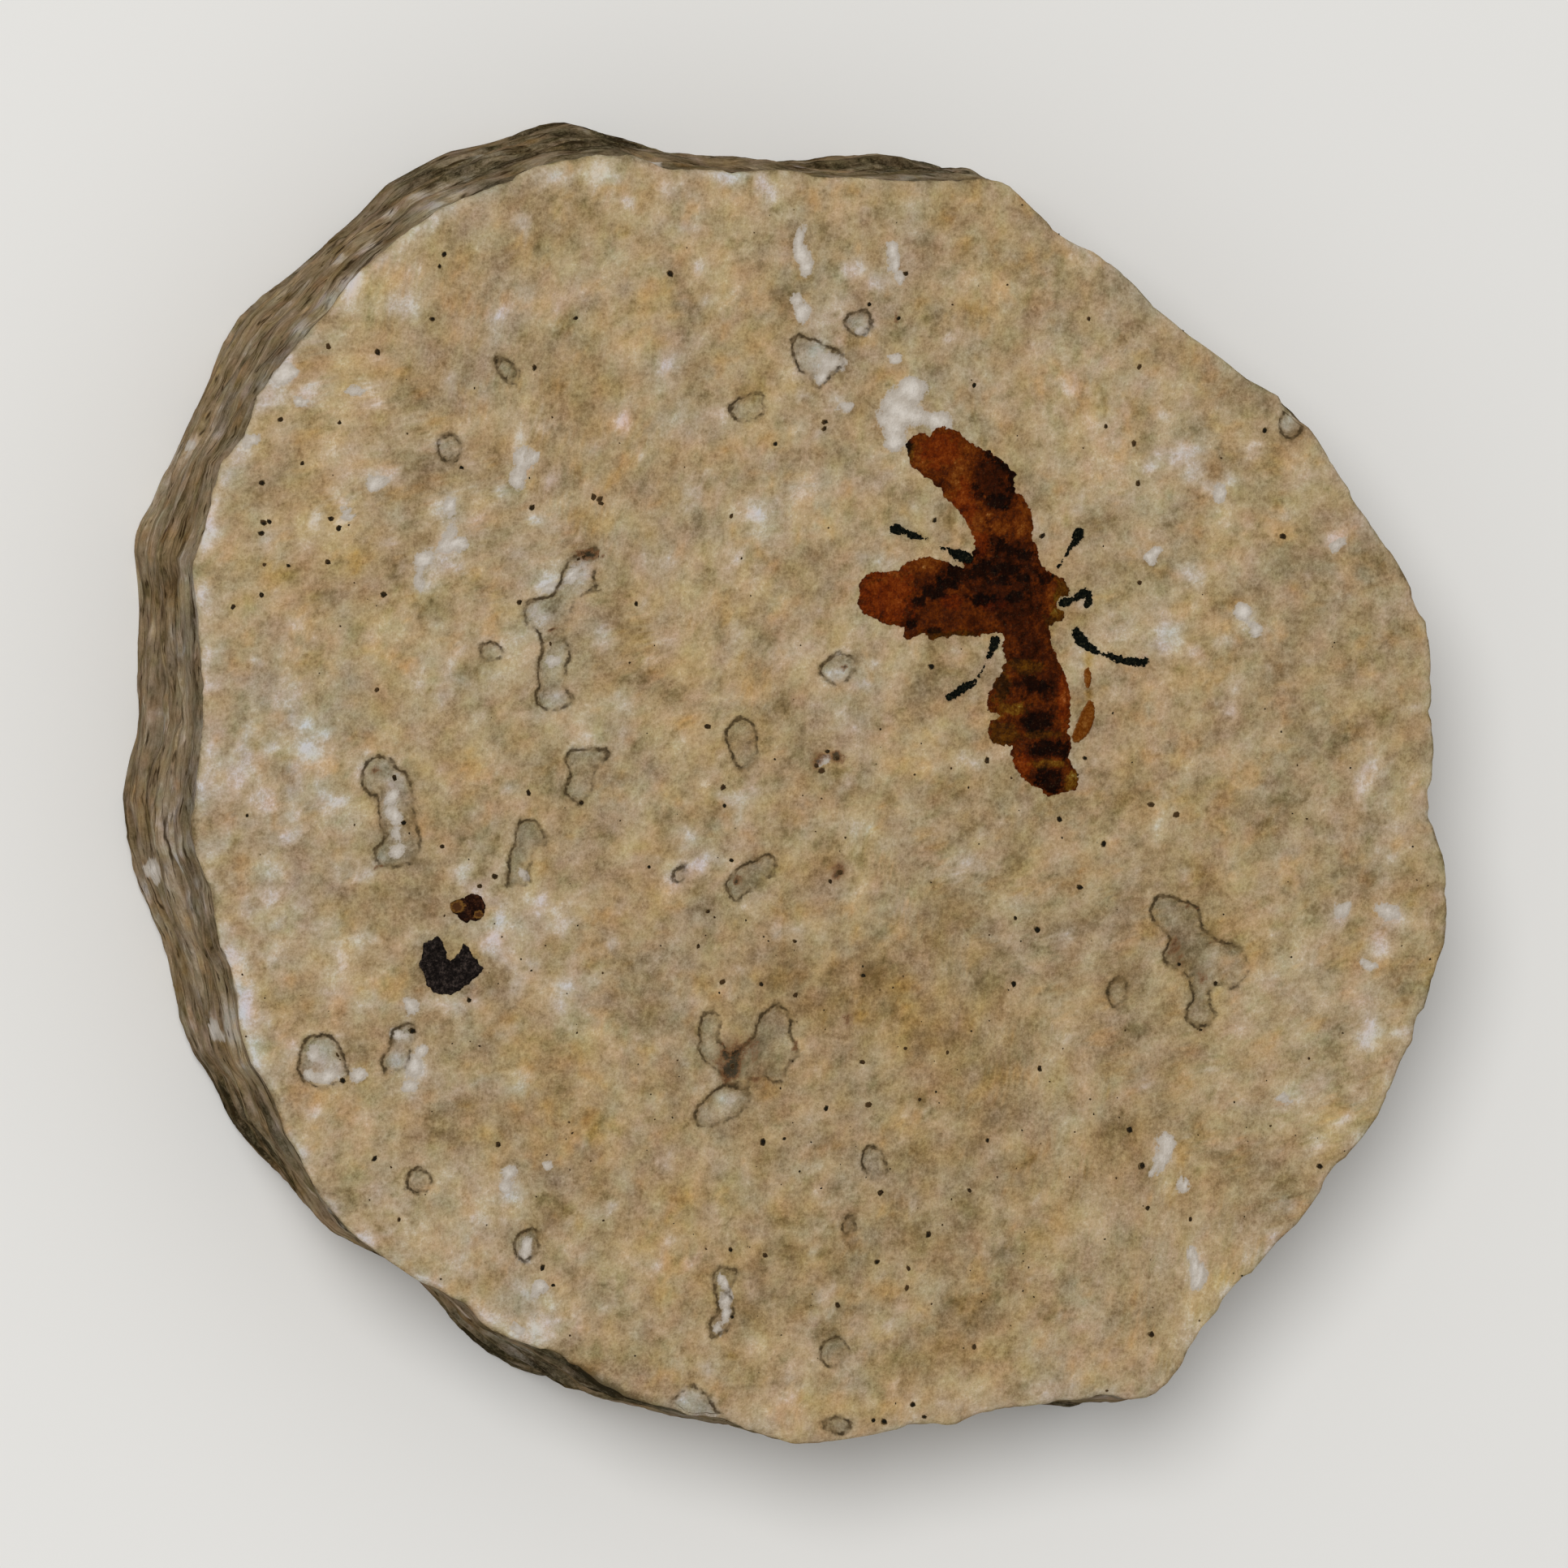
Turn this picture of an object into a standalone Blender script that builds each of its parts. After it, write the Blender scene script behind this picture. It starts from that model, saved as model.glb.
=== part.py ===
"""Fossil march fly: a compression fossil on a small, hand-trimmed slab of pale laminated shale.

The slab lies flat with the fossil up. +X and +Y run along the slab's face, +Z points up, and the
origin is the middle of the slab's underside. The fly lies right of the middle: its head points to
the right, its two wings spread to the upper left and to the left, and its abdomen hangs down.

Outlines are written in millimetres on the face or on the base, clockwise seen from above, and
become metres when a shape is made.
"""
import math

import bpy
import bmesh
from mathutils import Vector, geometry, noise

MM = 0.001

# Driving dimensions, in metres
SLAB_THICKNESS = 8.0 * MM
FILM_GAP = 0.03 * MM
WING_THICKNESS = 0.10 * MM
BODY_RELIEF = 0.16 * MM
LEG_THICKNESS = 0.14 * MM
SCRAP_THICKNESS = 0.12 * MM
PIT_DEPTH = 0.14 * MM

# The face's edge: where the pale bedding plane ends and the broken wall begins
FACE_EDGE = (
    (-9.0, 19.05), (-8.0, 19.3), (-7.0, 19.45), (-6.0, 19.45), (-5.0, 19.05), (-3.0, 18.95),
    (-1.0, 18.9), (1.0, 18.75), (3.0, 18.65), (4.4, 18.62), (5.6, 18.72), (6.15, 18.5), (6.55, 18.1),
    (7.2, 17.5), (7.9, 16.85), (9.0, 16.3), (9.6, 15.9), (10.15, 15.45), (10.8, 14.75), (12.0, 13.8),
    (13.0, 13.1), (13.85, 12.45), (14.85, 11.95), (15.35, 11.5), (15.95, 10.9), (16.45, 10.15),
    (17.0, 9.3), (18.0, 7.95), (18.5, 7.15), (19.0, 6.3), (19.45, 5.5), (19.75, 4.75), (19.85, 3.9),
    (19.92, 2.3), (20.0, 0.55), (19.88, -0.6), (19.9, -1.3), (20.05, -1.95), (20.3, -2.6),
    (20.42, -3.4), (20.45, -4.4), (20.35, -5.25), (20.05, -6.1), (19.7, -7.3), (19.4, -8.25),
    (18.95, -9.0), (18.55, -9.9), (18.2, -10.65), (17.7, -11.35), (17.0, -12.15), (16.1, -13.3),
    (15.55, -14.0), (14.9, -14.6), (14.05, -15.55), (13.1, -16.5), (12.36, -17.27), (12.0, -17.84),
    (11.76, -18.5), (11.38, -19.05), (10.93, -19.35), (10.0, -19.45), (9.5, -19.3), (8.0, -19.42),
    (6.0, -19.62), (5.0, -19.8), (4.4, -20.05), (3.0, -20.05), (1.6, -20.3), (0.0, -20.5),
    (-0.7, -20.52), (-1.5, -20.33), (-3.0, -19.8), (-4.0, -19.6), (-5.0, -19.25), (-6.0, -18.95),
    (-7.0, -18.6), (-7.7, -18.0), (-8.4, -17.6), (-9.0, -17.33), (-9.6, -17.1), (-10.35, -16.8),
    (-11.25, -15.95), (-12.0, -15.45), (-12.55, -15.2), (-13.0, -14.95), (-14.05, -14.25),
    (-14.6, -13.85), (-15.0, -13.5), (-15.35, -13.05), (-15.8, -12.5), (-16.5, -11.25),
    (-16.9, -10.5), (-17.15, -9.8), (-17.45, -9.05), (-17.9, -8.35), (-18.2, -7.45), (-18.3, -6.85),
    (-18.4, -6.2), (-18.6, -5.5), (-18.95, -4.75), (-19.05, -4.0), (-19.25, -3.0), (-19.6, -2.0),
    (-19.72, -1.0), (-19.68, 0.0), (-19.45, 2.0), (-19.55, 4.6), (-19.62, 6.0), (-19.75, 7.0),
    (-19.4, 7.9), (-19.15, 9.0), (-18.85, 10.0), (-18.15, 10.8), (-17.75, 12.0), (-17.0, 13.0),
    (-16.15, 14.0), (-15.5, 14.6), (-14.85, 15.5), (-13.95, 16.4), (-13.25, 16.85), (-12.0, 17.75),
    (-11.05, 18.1), (-10.0, 18.6),
)

# The foot of the wall, where it meets whatever the slab lies on
BASE_EDGE = (
    (-10.0, 19.65), (-9.0, 19.85), (-8.0, 20.1), (-7.25, 20.4), (-6.35, 20.5), (-5.45, 20.35),
    (-4.7, 20.1), (-3.95, 19.8), (-3.2, 19.55), (-1.65, 19.5), (-0.5, 19.4), (0.4, 19.25),
    (1.1, 19.3), (2.15, 19.42), (3.2, 19.5), (4.2, 19.55), (4.9, 19.35), (5.5, 19.2), (6.4, 18.9),
    (7.1, 18.3), (7.8, 17.4), (9.0, 16.7), (10.4, 15.9), (11.6, 14.6), (13.3, 13.6), (15.1, 12.3),
    (16.3, 11.2), (17.2, 9.8), (18.4, 8.1), (19.2, 6.6), (19.9, 5.0), (20.05, 3.2), (20.2, 0.4),
    (20.1, -1.5), (20.45, -3.2), (20.4, -5.0), (20.2, -6.8), (19.4, -8.9), (18.6, -10.8),
    (17.3, -12.4), (16.3, -13.8), (14.6, -15.5), (13.2, -17.0), (12.4, -18.3), (11.8, -19.3),
    (11.1, -20.1), (10.3, -20.45), (9.3, -20.4), (8.4, -19.9), (6.5, -19.75), (4.6, -20.0),
    (2.4, -20.1), (0.6, -20.45), (-0.9, -20.55), (-2.4, -20.2), (-4.0, -19.88), (-5.0, -19.7),
    (-6.0, -19.35), (-7.0, -19.0), (-7.75, -18.8), (-8.5, -18.45), (-9.25, -17.85), (-10.0, -17.1),
    (-11.05, -15.96), (-12.0, -15.1), (-13.2, -14.3), (-14.05, -13.85), (-14.65, -13.45),
    (-15.4, -12.6), (-16.2, -11.85), (-16.85, -11.1), (-17.2, -10.35), (-17.6, -9.45),
    (-18.2, -8.65), (-18.5, -8.0), (-18.8, -6.95), (-19.0, -5.95), (-19.2, -5.0), (-19.5, -4.35),
    (-19.8, -3.6), (-20.05, -3.0), (-20.25, -2.15), (-20.4, -1.3), (-20.5, -0.55), (-20.35, 0.35),
    (-20.2, 0.9), (-20.0, 1.5), (-19.95, 2.4), (-19.95, 5.3), (-20.0, 6.3), (-20.1, 7.3),
    (-19.95, 7.95), (-19.55, 8.6), (-19.15, 9.45), (-18.65, 10.45), (-18.3, 11.2), (-17.95, 11.9),
    (-17.55, 12.75), (-17.2, 13.65), (-16.8, 14.3), (-16.35, 14.8), (-15.75, 15.2), (-14.7, 16.1),
    (-13.65, 17.0), (-12.6, 17.95), (-12.0, 18.6), (-11.0, 19.15),
)

# The broken beds that show in the wall, from the base up: height of the bed's top and how far
# its edge stands proud of the line from the foot of the wall to the face's edge, in millimetres
BEDS = ((1.1, 0.0), (2.2, 0.24), (3.1, -0.06), (4.5, 0.22), (5.4, 0.02), (6.7, 0.2), (7.8, 0.0))
BED_STEP = 0.12
FOOT_HEIGHT = 0.25
FOOT_INSET = 0.2
RIM_INSET = 0.14
WALL_SPACING_DEGREES = 2.6
CHIP_DEPTH = 0.28
CHIP_SIZE = 3.4
WALL_SEED = 17.0
CORNER_SLACK = 1e-5

# Flakes lost from the face: (x, y), half length, half width, turn in degrees
ROUND_PITS = (
    ((-9.9, 12.8), 0.48, 0.26, 130), ((-11.7, 10.4), 0.45, 0.36, 75), ((-2.25, 11.6), 0.56, 0.44, 25),
    ((1.25, 14.2), 0.42, 0.36, 0), ((-10.4, 4.2), 0.36, 0.30, 150), ((-13.85, 0.55), 0.62, 0.52, 100),
    ((-2.45, 1.3), 0.82, 0.44, 95), ((0.6, 3.55), 0.60, 0.42, 30), ((-9.35, -1.75), 0.95, 0.40, 80),
    ((-4.45, -2.75), 0.32, 0.27, 90), ((-2.15, -2.7), 0.85, 0.36, 45), ((-15.6, -8.05), 0.82, 0.62, 80),
    ((-13.35, -7.9), 0.76, 0.42, 65), ((-12.7, -12.0), 0.40, 0.38, 0), ((-9.3, -14.05), 0.50, 0.34, 70),
    ((-3.1, -9.75), 0.82, 0.55, 12), ((0.5, -17.6), 0.52, 0.46, 0), ((1.75, -11.8), 0.56, 0.38, 110),
    ((9.6, -6.55), 0.50, 0.28, 95), ((-3.0, -15.8), 1.08, 0.33, 82), ((-13.35, -1.2), 0.98, 0.48, 86),
)
ROUND_PIT_POINTS = 11
ROUND_PIT_UNEVENNESS = 0.16

# Flakes with a longer outline of their own
WEDGE_PIT = ((-0.75, 13.75), (-0.1, 13.8), (0.3, 13.4), (0.7, 13.3), (0.75, 12.85), (0.2, 12.55),
             (-0.05, 12.3), (-0.55, 12.8), (-0.85, 13.3))
BOOT_PIT = ((-7.9, 7.15), (-7.25, 7.35), (-6.95, 7.15), (-7.05, 6.1), (-7.6, 5.85), (-8.0, 5.3),
            (-7.98, 3.7), (-7.82, 3.0), (-8.1, 2.5), (-8.85, 2.55), (-9.0, 2.95), (-8.8, 3.6),
            (-8.88, 4.5), (-8.98, 5.9), (-8.7, 6.5), (-8.0, 6.6))
COMMA_PIT = ((-7.9, 1.15), (-7.2, 1.3), (-6.75, 1.15), (-6.85, 0.85), (-7.15, 0.5), (-7.25, -0.1),
             (-7.6, -0.5), (-8.0, -0.3), (-8.05, 0.2), (-7.85, 0.6))
BONE_PIT = ((10.75, -3.75), (10.9, -3.4), (11.7, -3.6), (12.1, -4.1), (12.5, -4.9), (13.3, -5.0),
            (13.8, -5.6), (13.6, -6.1), (13.2, -6.4), (12.7, -6.1), (12.55, -6.6), (12.65, -7.3),
            (12.3, -7.8), (11.95, -7.7), (11.95, -6.6), (11.9, -6.0), (11.2, -5.6), (11.15, -5.0),
            (10.8, -4.4))
HOOK_PIT = ((-3.65, -6.9), (-3.2, -6.9), (-3.1, -7.5), (-2.85, -8.2), (-2.4, -8.35), (-2.05, -7.7),
            (-1.95, -7.0), (-1.5, -6.65), (-1.05, -6.95), (-0.95, -7.6), (-0.8, -8.2), (-1.1, -8.8),
            (-2.2, -8.9), (-2.9, -8.85), (-3.45, -8.6), (-3.75, -8.2), (-3.8, -7.4))
LONG_PITS = (WEDGE_PIT, BOOT_PIT, COMMA_PIT, BONE_PIT, HOOK_PIT)

# The fly: both wings, thorax, head and abdomen flattened into one film
FLY_OUTLINE = (
    (2.77, 10.41), (2.94, 10.67), (3.2, 10.83), (3.37, 10.77), (3.5, 10.68), (3.6, 10.86),
    (3.87, 10.97), (4.2, 10.95), (4.47, 10.76), (4.67, 10.54), (5.13, 10.3), (5.43, 10.21),
    (5.67, 10.05), (5.93, 9.82), (6.16, 9.6), (6.25, 9.44), (6.2, 9.1), (6.22, 8.96), (6.4, 8.87),
    (6.6, 8.6), (6.75, 8.35), (6.82, 8.0), (6.83, 7.4), (6.96, 7.14), (7.04, 6.86), (7.15, 6.6),
    (7.32, 6.46), (7.73, 6.3), (7.9, 6.08), (8.1, 5.9), (8.0, 5.78), (7.62, 5.68), (7.58, 5.34),
    (7.8, 5.24), (7.83, 5.08), (7.7, 4.93), (7.5, 4.9), (7.34, 4.77), (7.4, 4.5), (7.46, 4.2),
    (7.6, 3.8), (7.78, 3.45), (7.92, 3.1), (8.02, 2.75), (8.02, 2.15), (8.0, 1.8), (7.95, 1.47),
    (8.04, 1.22), (8.07, 1.0), (8.0, 0.65), (8.05, 0.46), (8.22, 0.33), (8.31, 0.15), (8.25, -0.2),
    (8.09, -0.35), (7.7, -0.39), (7.37, -0.46), (7.17, -0.37), (6.89, -0.15), (6.57, 0.03),
    (6.41, 0.2), (6.3, 0.38), (6.21, 0.64), (6.12, 0.84), (6.18, 1.08), (5.91, 1.11), (5.68, 1.15),
    (5.48, 1.24), (5.4, 1.48), (5.42, 1.68), (5.48, 1.84), (5.72, 1.93), (5.78, 2.03), (5.66, 2.12),
    (5.42, 2.1), (5.35, 2.34), (5.37, 2.56), (5.45, 2.8), (5.55, 3.0), (5.68, 3.2), (5.82, 3.42),
    (5.93, 3.66), (5.95, 3.9), (5.88, 4.15), (5.86, 4.5), (5.65, 4.62), (5.3, 4.55), (4.95, 4.46),
    (4.47, 4.55), (4.07, 4.5), (3.77, 4.46), (3.6, 4.37), (3.44, 4.54), (3.2, 4.58), (2.9, 4.42),
    (2.7, 4.52), (2.72, 4.74), (2.5, 4.86), (2.07, 4.9), (1.75, 5.08), (1.47, 5.2), (1.31, 5.38),
    (1.22, 5.56), (1.3, 5.9), (1.27, 6.1), (1.36, 6.27), (1.58, 6.45), (1.95, 6.53), (2.25, 6.48),
    (2.5, 6.57), (2.8, 6.79), (3.05, 6.91), (3.5, 6.95), (3.9, 6.87), (4.25, 6.7), (4.7, 6.64),
    (4.98, 6.72), (5.08, 6.85), (5.0, 7.1), (4.95, 7.45), (4.8, 7.8), (4.62, 8.15), (4.37, 8.48),
    (4.1, 8.7), (3.87, 9.02), (3.6, 9.3), (3.3, 9.47), (2.98, 9.7), (2.88, 9.95),
)
FLY_GRID_SPACING = 0.26
FLY_GRID_MARGIN = 0.1
FLY_EDGE_THICKNESS = 0.05 * MM

# Round swellings of the flattened body: (x, y), half width along x, half width along y, share
FLY_SWELLINGS = (((6.4, 5.85), 1.05, 1.35, 1.0), ((7.55, 5.6), 0.55, 0.65, 0.7),
                 ((6.75, 2.9), 1.25, 2.0, 0.9), ((7.25, 0.6), 1.0, 1.2, 0.8))
# Heights of the grooves between the segments of the abdomen
SEGMENT_GROOVES = (4.35, 3.45, 2.3, 1.45, 0.72)
GROOVE_HALF_WIDTH = 0.16
GROOVE_SHARE = 0.6

# Legs: (x, y, full width) along each leg, from the foot or the outer end towards the body
LEG_UPPER_LEFT = ((2.26, 7.8, 0.14), (2.42, 7.83, 0.27), (2.7, 7.76, 0.12), (2.98, 7.66, 0.24),
                  (3.18, 7.57, 0.07), (3.42, 7.5, 0.12), (3.66, 7.36, 0.06), (3.92, 7.25, 0.09),
                  (4.15, 7.17, 0.14), (4.42, 7.05, 0.24), (4.64, 6.93, 0.3), (4.85, 6.87, 0.18))
LEG_LOWER_LEFT = ((4.07, 2.58, 0.12), (4.28, 2.68, 0.2), (4.58, 2.87, 0.16), (4.87, 3.04, 0.16),
                  (5.0, 3.16, 0.06), (5.16, 3.36, 0.14), (5.28, 3.6, 0.12), (5.36, 3.77, 0.06),
                  (5.43, 3.9, 0.18), (5.49, 4.05, 0.12), (5.56, 4.24, 0.24), (5.62, 4.44, 0.22))
LEG_UPPER_RIGHT = ((8.38, 7.8, 0.16), (8.31, 7.67, 0.26), (8.2, 7.48, 0.2), (8.04, 7.26, 0.15),
                   (7.97, 7.11, 0.06), (7.88, 6.98, 0.14), (7.78, 6.84, 0.06), (7.66, 6.66, 0.18),
                   (7.57, 6.57, 0.1))
LEG_MIDDLE_RIGHT = ((7.7, 5.47, 0.12), (7.79, 5.52, 0.22), (7.95, 5.57, 0.19), (8.12, 5.63, 0.14),
                    (8.35, 5.75, 0.2), (8.54, 5.83, 0.24), (8.66, 5.73, 0.17), (8.67, 5.58, 0.16),
                    (8.59, 5.45, 0.2), (8.46, 5.39, 0.08))
LEG_LOWER_RIGHT = ((8.15, 4.71, 0.14), (8.24, 4.57, 0.28), (8.41, 4.34, 0.28), (8.6, 4.15, 0.24),
                   (8.8, 4.01, 0.16), (9.02, 3.92, 0.09), (9.27, 3.89, 0.17), (9.52, 3.77, 0.2),
                   (9.78, 3.69, 0.12), (10.0, 3.67, 0.15), (10.25, 3.66, 0.22), (10.44, 3.69, 0.2),
                   (10.55, 3.7, 0.08))

# Amber-coloured scraps of cuticle beside the abdomen
AMBER_SCRAP = ((8.67, 2.5), (8.8, 2.42), (8.84, 2.15), (8.8, 1.9), (8.74, 1.68), (8.63, 1.45),
               (8.47, 1.28), (8.3, 1.17), (8.14, 1.16), (8.1, 1.34), (8.18, 1.56), (8.24, 1.75),
               (8.3, 1.9), (8.4, 2.1), (8.52, 2.28))
AMBER_FLECK = ((8.52, 3.44), (8.62, 3.5), (8.71, 3.3), (8.71, 3.05), (8.64, 2.84), (8.55, 2.86),
               (8.5, 3.05), (8.47, 3.26))

# Carbonised scraps of plant, left of the middle
DARK_SCRAP = (
    (-12.53, -4.72), (-12.25, -4.62), (-12.14, -4.53), (-12.05, -4.5), (-11.98, -4.65),
    (-11.88, -4.83), (-11.82, -5.02), (-11.79, -5.22), (-11.7, -5.28), (-11.54, -5.2),
    (-11.45, -5.08), (-11.36, -4.92), (-11.29, -4.78), (-11.14, -4.86), (-11.05, -5.0),
    (-10.99, -5.16), (-10.85, -5.25), (-10.8, -5.4), (-10.65, -5.53), (-10.71, -5.65),
    (-10.82, -5.77), (-10.99, -5.86), (-11.08, -5.98), (-11.2, -6.04), (-11.36, -6.16),
    (-11.54, -6.26), (-11.7, -6.33), (-12.07, -6.31), (-12.22, -6.23), (-12.32, -6.1),
    (-12.44, -6.02), (-12.45, -5.84), (-12.53, -5.68), (-12.62, -5.5), (-12.68, -5.35),
    (-12.6, -5.2), (-12.57, -5.0),
)
BROWN_SCRAP = (
    (-11.7, -3.55), (-11.6, -3.44), (-11.45, -3.41), (-11.27, -3.37), (-11.17, -3.28),
    (-11.02, -3.24), (-10.83, -3.26), (-10.71, -3.34), (-10.63, -3.49), (-10.59, -3.64),
    (-10.6, -3.79), (-10.65, -3.94), (-10.77, -4.05), (-10.92, -4.07), (-11.08, -4.04),
    (-11.14, -4.13), (-11.27, -4.11), (-11.39, -4.01), (-11.48, -3.87), (-11.6, -3.81),
    (-11.68, -3.66),
)


def clear_scene():
    """Remove whatever the open file holds."""
    for thing in list(bpy.data.objects):
        bpy.data.objects.remove(thing, do_unlink=True)


def material(name, colour, roughness):
    """A Principled material of one colour."""
    made = bpy.data.materials.new(name)
    made.use_nodes = True
    shader = made.node_tree.nodes["Principled BSDF"]
    shader.inputs["Base Color"].default_value = (*colour, 1.0)
    shader.inputs["Roughness"].default_value = roughness
    shader.inputs["Metallic"].default_value = 0.0
    return made


def shale_material():
    return material("pale_shale", (0.40, 0.31, 0.19), 0.9)


def fly_material():
    return material("fly_film", (0.16, 0.045, 0.012), 0.6)


def leg_material():
    return material("leg_carbon", (0.012, 0.012, 0.009), 0.6)


def amber_material():
    return material("amber_cuticle", (0.32, 0.11, 0.02), 0.5)


def dark_scrap_material():
    return material("dark_carbon", (0.02, 0.014, 0.016), 0.6)


def brown_scrap_material():
    return material("brown_carbon", (0.06, 0.015, 0.008), 0.55)


def make_object(name, bm, surface, parent, place=(0.0, 0.0, 0.0)):
    """Turn a bmesh into a named object under the parent, at its place."""
    bmesh.ops.recalc_face_normals(bm, faces=bm.faces)
    mesh = bpy.data.meshes.new(name)
    bm.to_mesh(mesh)
    bm.free()
    mesh.materials.append(surface)
    made = bpy.data.objects.new(name, mesh)
    made.location = place
    made.parent = parent
    bpy.context.scene.collection.objects.link(made)
    return made


def heading(point):
    """The direction of a point seen from the middle, in radians from 0 to a full turn."""
    return math.atan2(point[1], point[0]) % math.tau


def reach(outline, angle):
    """How far an outline lies from the middle in one direction, in the outline's own units."""
    ray = Vector((math.cos(angle), math.sin(angle)))
    best = 0.0
    for start, end in zip(outline, outline[1:] + outline[:1]):
        edge = Vector(end) - Vector(start)
        across = ray.x * edge.y - ray.y * edge.x
        if abs(across) < 1e-9:
            continue
        along_ray = (start[0] * edge.y - start[1] * edge.x) / across
        along_edge = (start[0] * ray.y - start[1] * ray.x) / across
        if along_ray > 0.0 and -CORNER_SLACK <= along_edge <= 1.0 + CORNER_SLACK:
            best = max(best, along_ray)
    return best


def wall_angles():
    """Directions in which the wall has its corners: each corner of the face, and some between."""
    corners = sorted(heading(point) for point in FACE_EDGE)
    widest = math.radians(WALL_SPACING_DEGREES)
    angles = []
    for start, end in zip(corners, corners[1:] + [corners[0] + math.tau]):
        parts = max(1, math.ceil((end - start) / widest))
        angles += [start + (end - start) * part / parts for part in range(parts)]
    return angles


def chip(angle, height):
    """Hollows that the trimming left in the wall, in millimetres, never proud of it."""
    size = CHIP_SIZE
    place = Vector((math.cos(angle) * 20.0 / size, math.sin(angle) * 20.0 / size, height / size))
    return -CHIP_DEPTH * abs(noise.noise(place + Vector((WALL_SEED, 0.0, 0.0))))


def bed_share(angle, bed):
    """How strongly one bed stands out in one direction, from 0 to 1."""
    place = Vector((math.cos(angle) * 5.0, math.sin(angle) * 5.0, bed * 3.1 + WALL_SEED))
    return min(1.0, max(0.0, 0.5 + 1.2 * noise.noise(place)))


def wall_levels():
    """Heights of the wall's rings in millimetres, each with the bed it belongs to and its proud."""
    levels = [(FOOT_HEIGHT, 0, 0.0)]
    low = FOOT_HEIGHT
    for bed, (top, proud) in enumerate(BEDS):
        if bed:
            levels.append((low + BED_STEP, bed, proud))
        levels.append((top, bed, proud))
        low = top
    return levels


def wall_rings():
    """The slab's rings of points from the underside's edge up to the rim of the face."""
    thickness = SLAB_THICKNESS / MM
    angles = wall_angles()
    foot = [reach(BASE_EDGE, angle) for angle in angles]
    face = [reach(FACE_EDGE, angle) for angle in angles]
    rings = [[(radius - FOOT_INSET, 0.0) for radius in foot]]
    for height, bed, proud in wall_levels():
        rise = (height - FOOT_HEIGHT) / (BEDS[-1][0] - FOOT_HEIGHT)
        fade = math.sin(math.pi * rise)
        ring = []
        for angle, low, high in zip(angles, foot, face):
            out = fade * (proud * bed_share(angle, bed) + chip(angle, height))
            ring.append((low + (high - low) * rise + out, height))
        rings.append(ring)
    rings.append([(radius - RIM_INSET, thickness) for radius in face])
    return [[(radius * math.cos(angle), radius * math.sin(angle), height)
             for angle, (radius, height) in zip(angles, ring)] for ring in rings]


def slab_mesh():
    """The slab before the pits are cut: a stack of rings, capped at the underside and the face."""
    bm = bmesh.new()
    rings = [[bm.verts.new(Vector(point) * MM) for point in ring] for ring in wall_rings()]
    count = len(rings[0])
    for lower, upper in zip(rings, rings[1:]):
        for this in range(count):
            after = (this + 1) % count
            bm.faces.new((lower[this], lower[after], upper[after], upper[this]))
    bm.faces.new(list(reversed(rings[0])))
    bm.faces.new(rings[-1])
    return bm


def uneven_round(centre, half_length, half_width, turn_degrees):
    """The outline of one lost flake: an oval with a wavering edge."""
    turn = math.radians(turn_degrees)
    outline = []
    for step in range(ROUND_PIT_POINTS):
        angle = math.tau * step / ROUND_PIT_POINTS
        place = Vector((centre[0] + 2.0 * math.cos(angle), centre[1] + 2.0 * math.sin(angle), 0.0))
        swell = 1.0 + ROUND_PIT_UNEVENNESS * noise.noise(place * 1.7)
        along = half_length * swell * math.cos(angle)
        across = half_width * swell * math.sin(angle)
        outline.append((centre[0] + along * math.cos(turn) - across * math.sin(turn),
                        centre[1] + along * math.sin(turn) + across * math.cos(turn)))
    return outline


def add_prism(bm, outline, low, high):
    """Add a straight-sided closed block between two heights."""
    bottom = [bm.verts.new((x * MM, y * MM, low)) for x, y in outline]
    top = [bm.verts.new((x * MM, y * MM, high)) for x, y in outline]
    count = len(outline)
    for this in range(count):
        after = (this + 1) % count
        bm.faces.new((bottom[this], bottom[after], top[after], top[this]))
    bm.faces.new(bottom)
    bm.faces.new(top)


def pit_cutter(surface, parent):
    """One guide object that holds every lost flake as a block reaching just into the face."""
    bm = bmesh.new()
    outlines = [uneven_round(*pit) for pit in ROUND_PITS] + list(LONG_PITS)
    for outline in outlines:
        add_prism(bm, outline, SLAB_THICKNESS - PIT_DEPTH, SLAB_THICKNESS + MM)
    cutter = make_object("pit_cutter", bm, surface, parent)
    cutter.hide_render = True
    cutter.display_type = "WIRE"
    return cutter


def shale_slab(parent):
    """The slab of shale that carries the fossil."""
    slab = make_object("shale_slab", slab_mesh(), shale_material(), parent)
    cut = slab.modifiers.new("lost_flakes", "BOOLEAN")
    cut.operation = "DIFFERENCE"
    cut.solver = "EXACT"
    cut.object = pit_cutter(slab.data.materials[0], parent)
    return slab


def middle(outline):
    """The mean of an outline's points."""
    count = len(outline)
    return (sum(point[0] for point in outline) / count, sum(point[1] for point in outline) / count)


def film(name, outline, thickness, surface, parent):
    """A thin flat scrap lying on the face."""
    centre = middle(outline)
    bm = bmesh.new()
    add_prism(bm, [(x - centre[0], y - centre[1]) for x, y in outline], 0.0, thickness)
    place = (centre[0] * MM, centre[1] * MM, SLAB_THICKNESS + FILM_GAP)
    return make_object(name, bm, surface, parent, place)


def leg_outline(route):
    """The outline of a leg from the widths along its route."""
    left = []
    right = []
    for step, (x, y, width) in enumerate(route):
        before = Vector(route[max(step - 1, 0)][:2])
        after = Vector(route[min(step + 1, len(route) - 1)][:2])
        side = (after - before).orthogonal().normalized() * width / 2.0
        left.append((x + side.x, y + side.y))
        right.append((x - side.x, y - side.y))
    return left + right[::-1]


def leg(name, route, parent):
    """One leg, pressed flat and turned to carbon."""
    return film(name, leg_outline(route), LEG_THICKNESS, leg_material(), parent)


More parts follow.
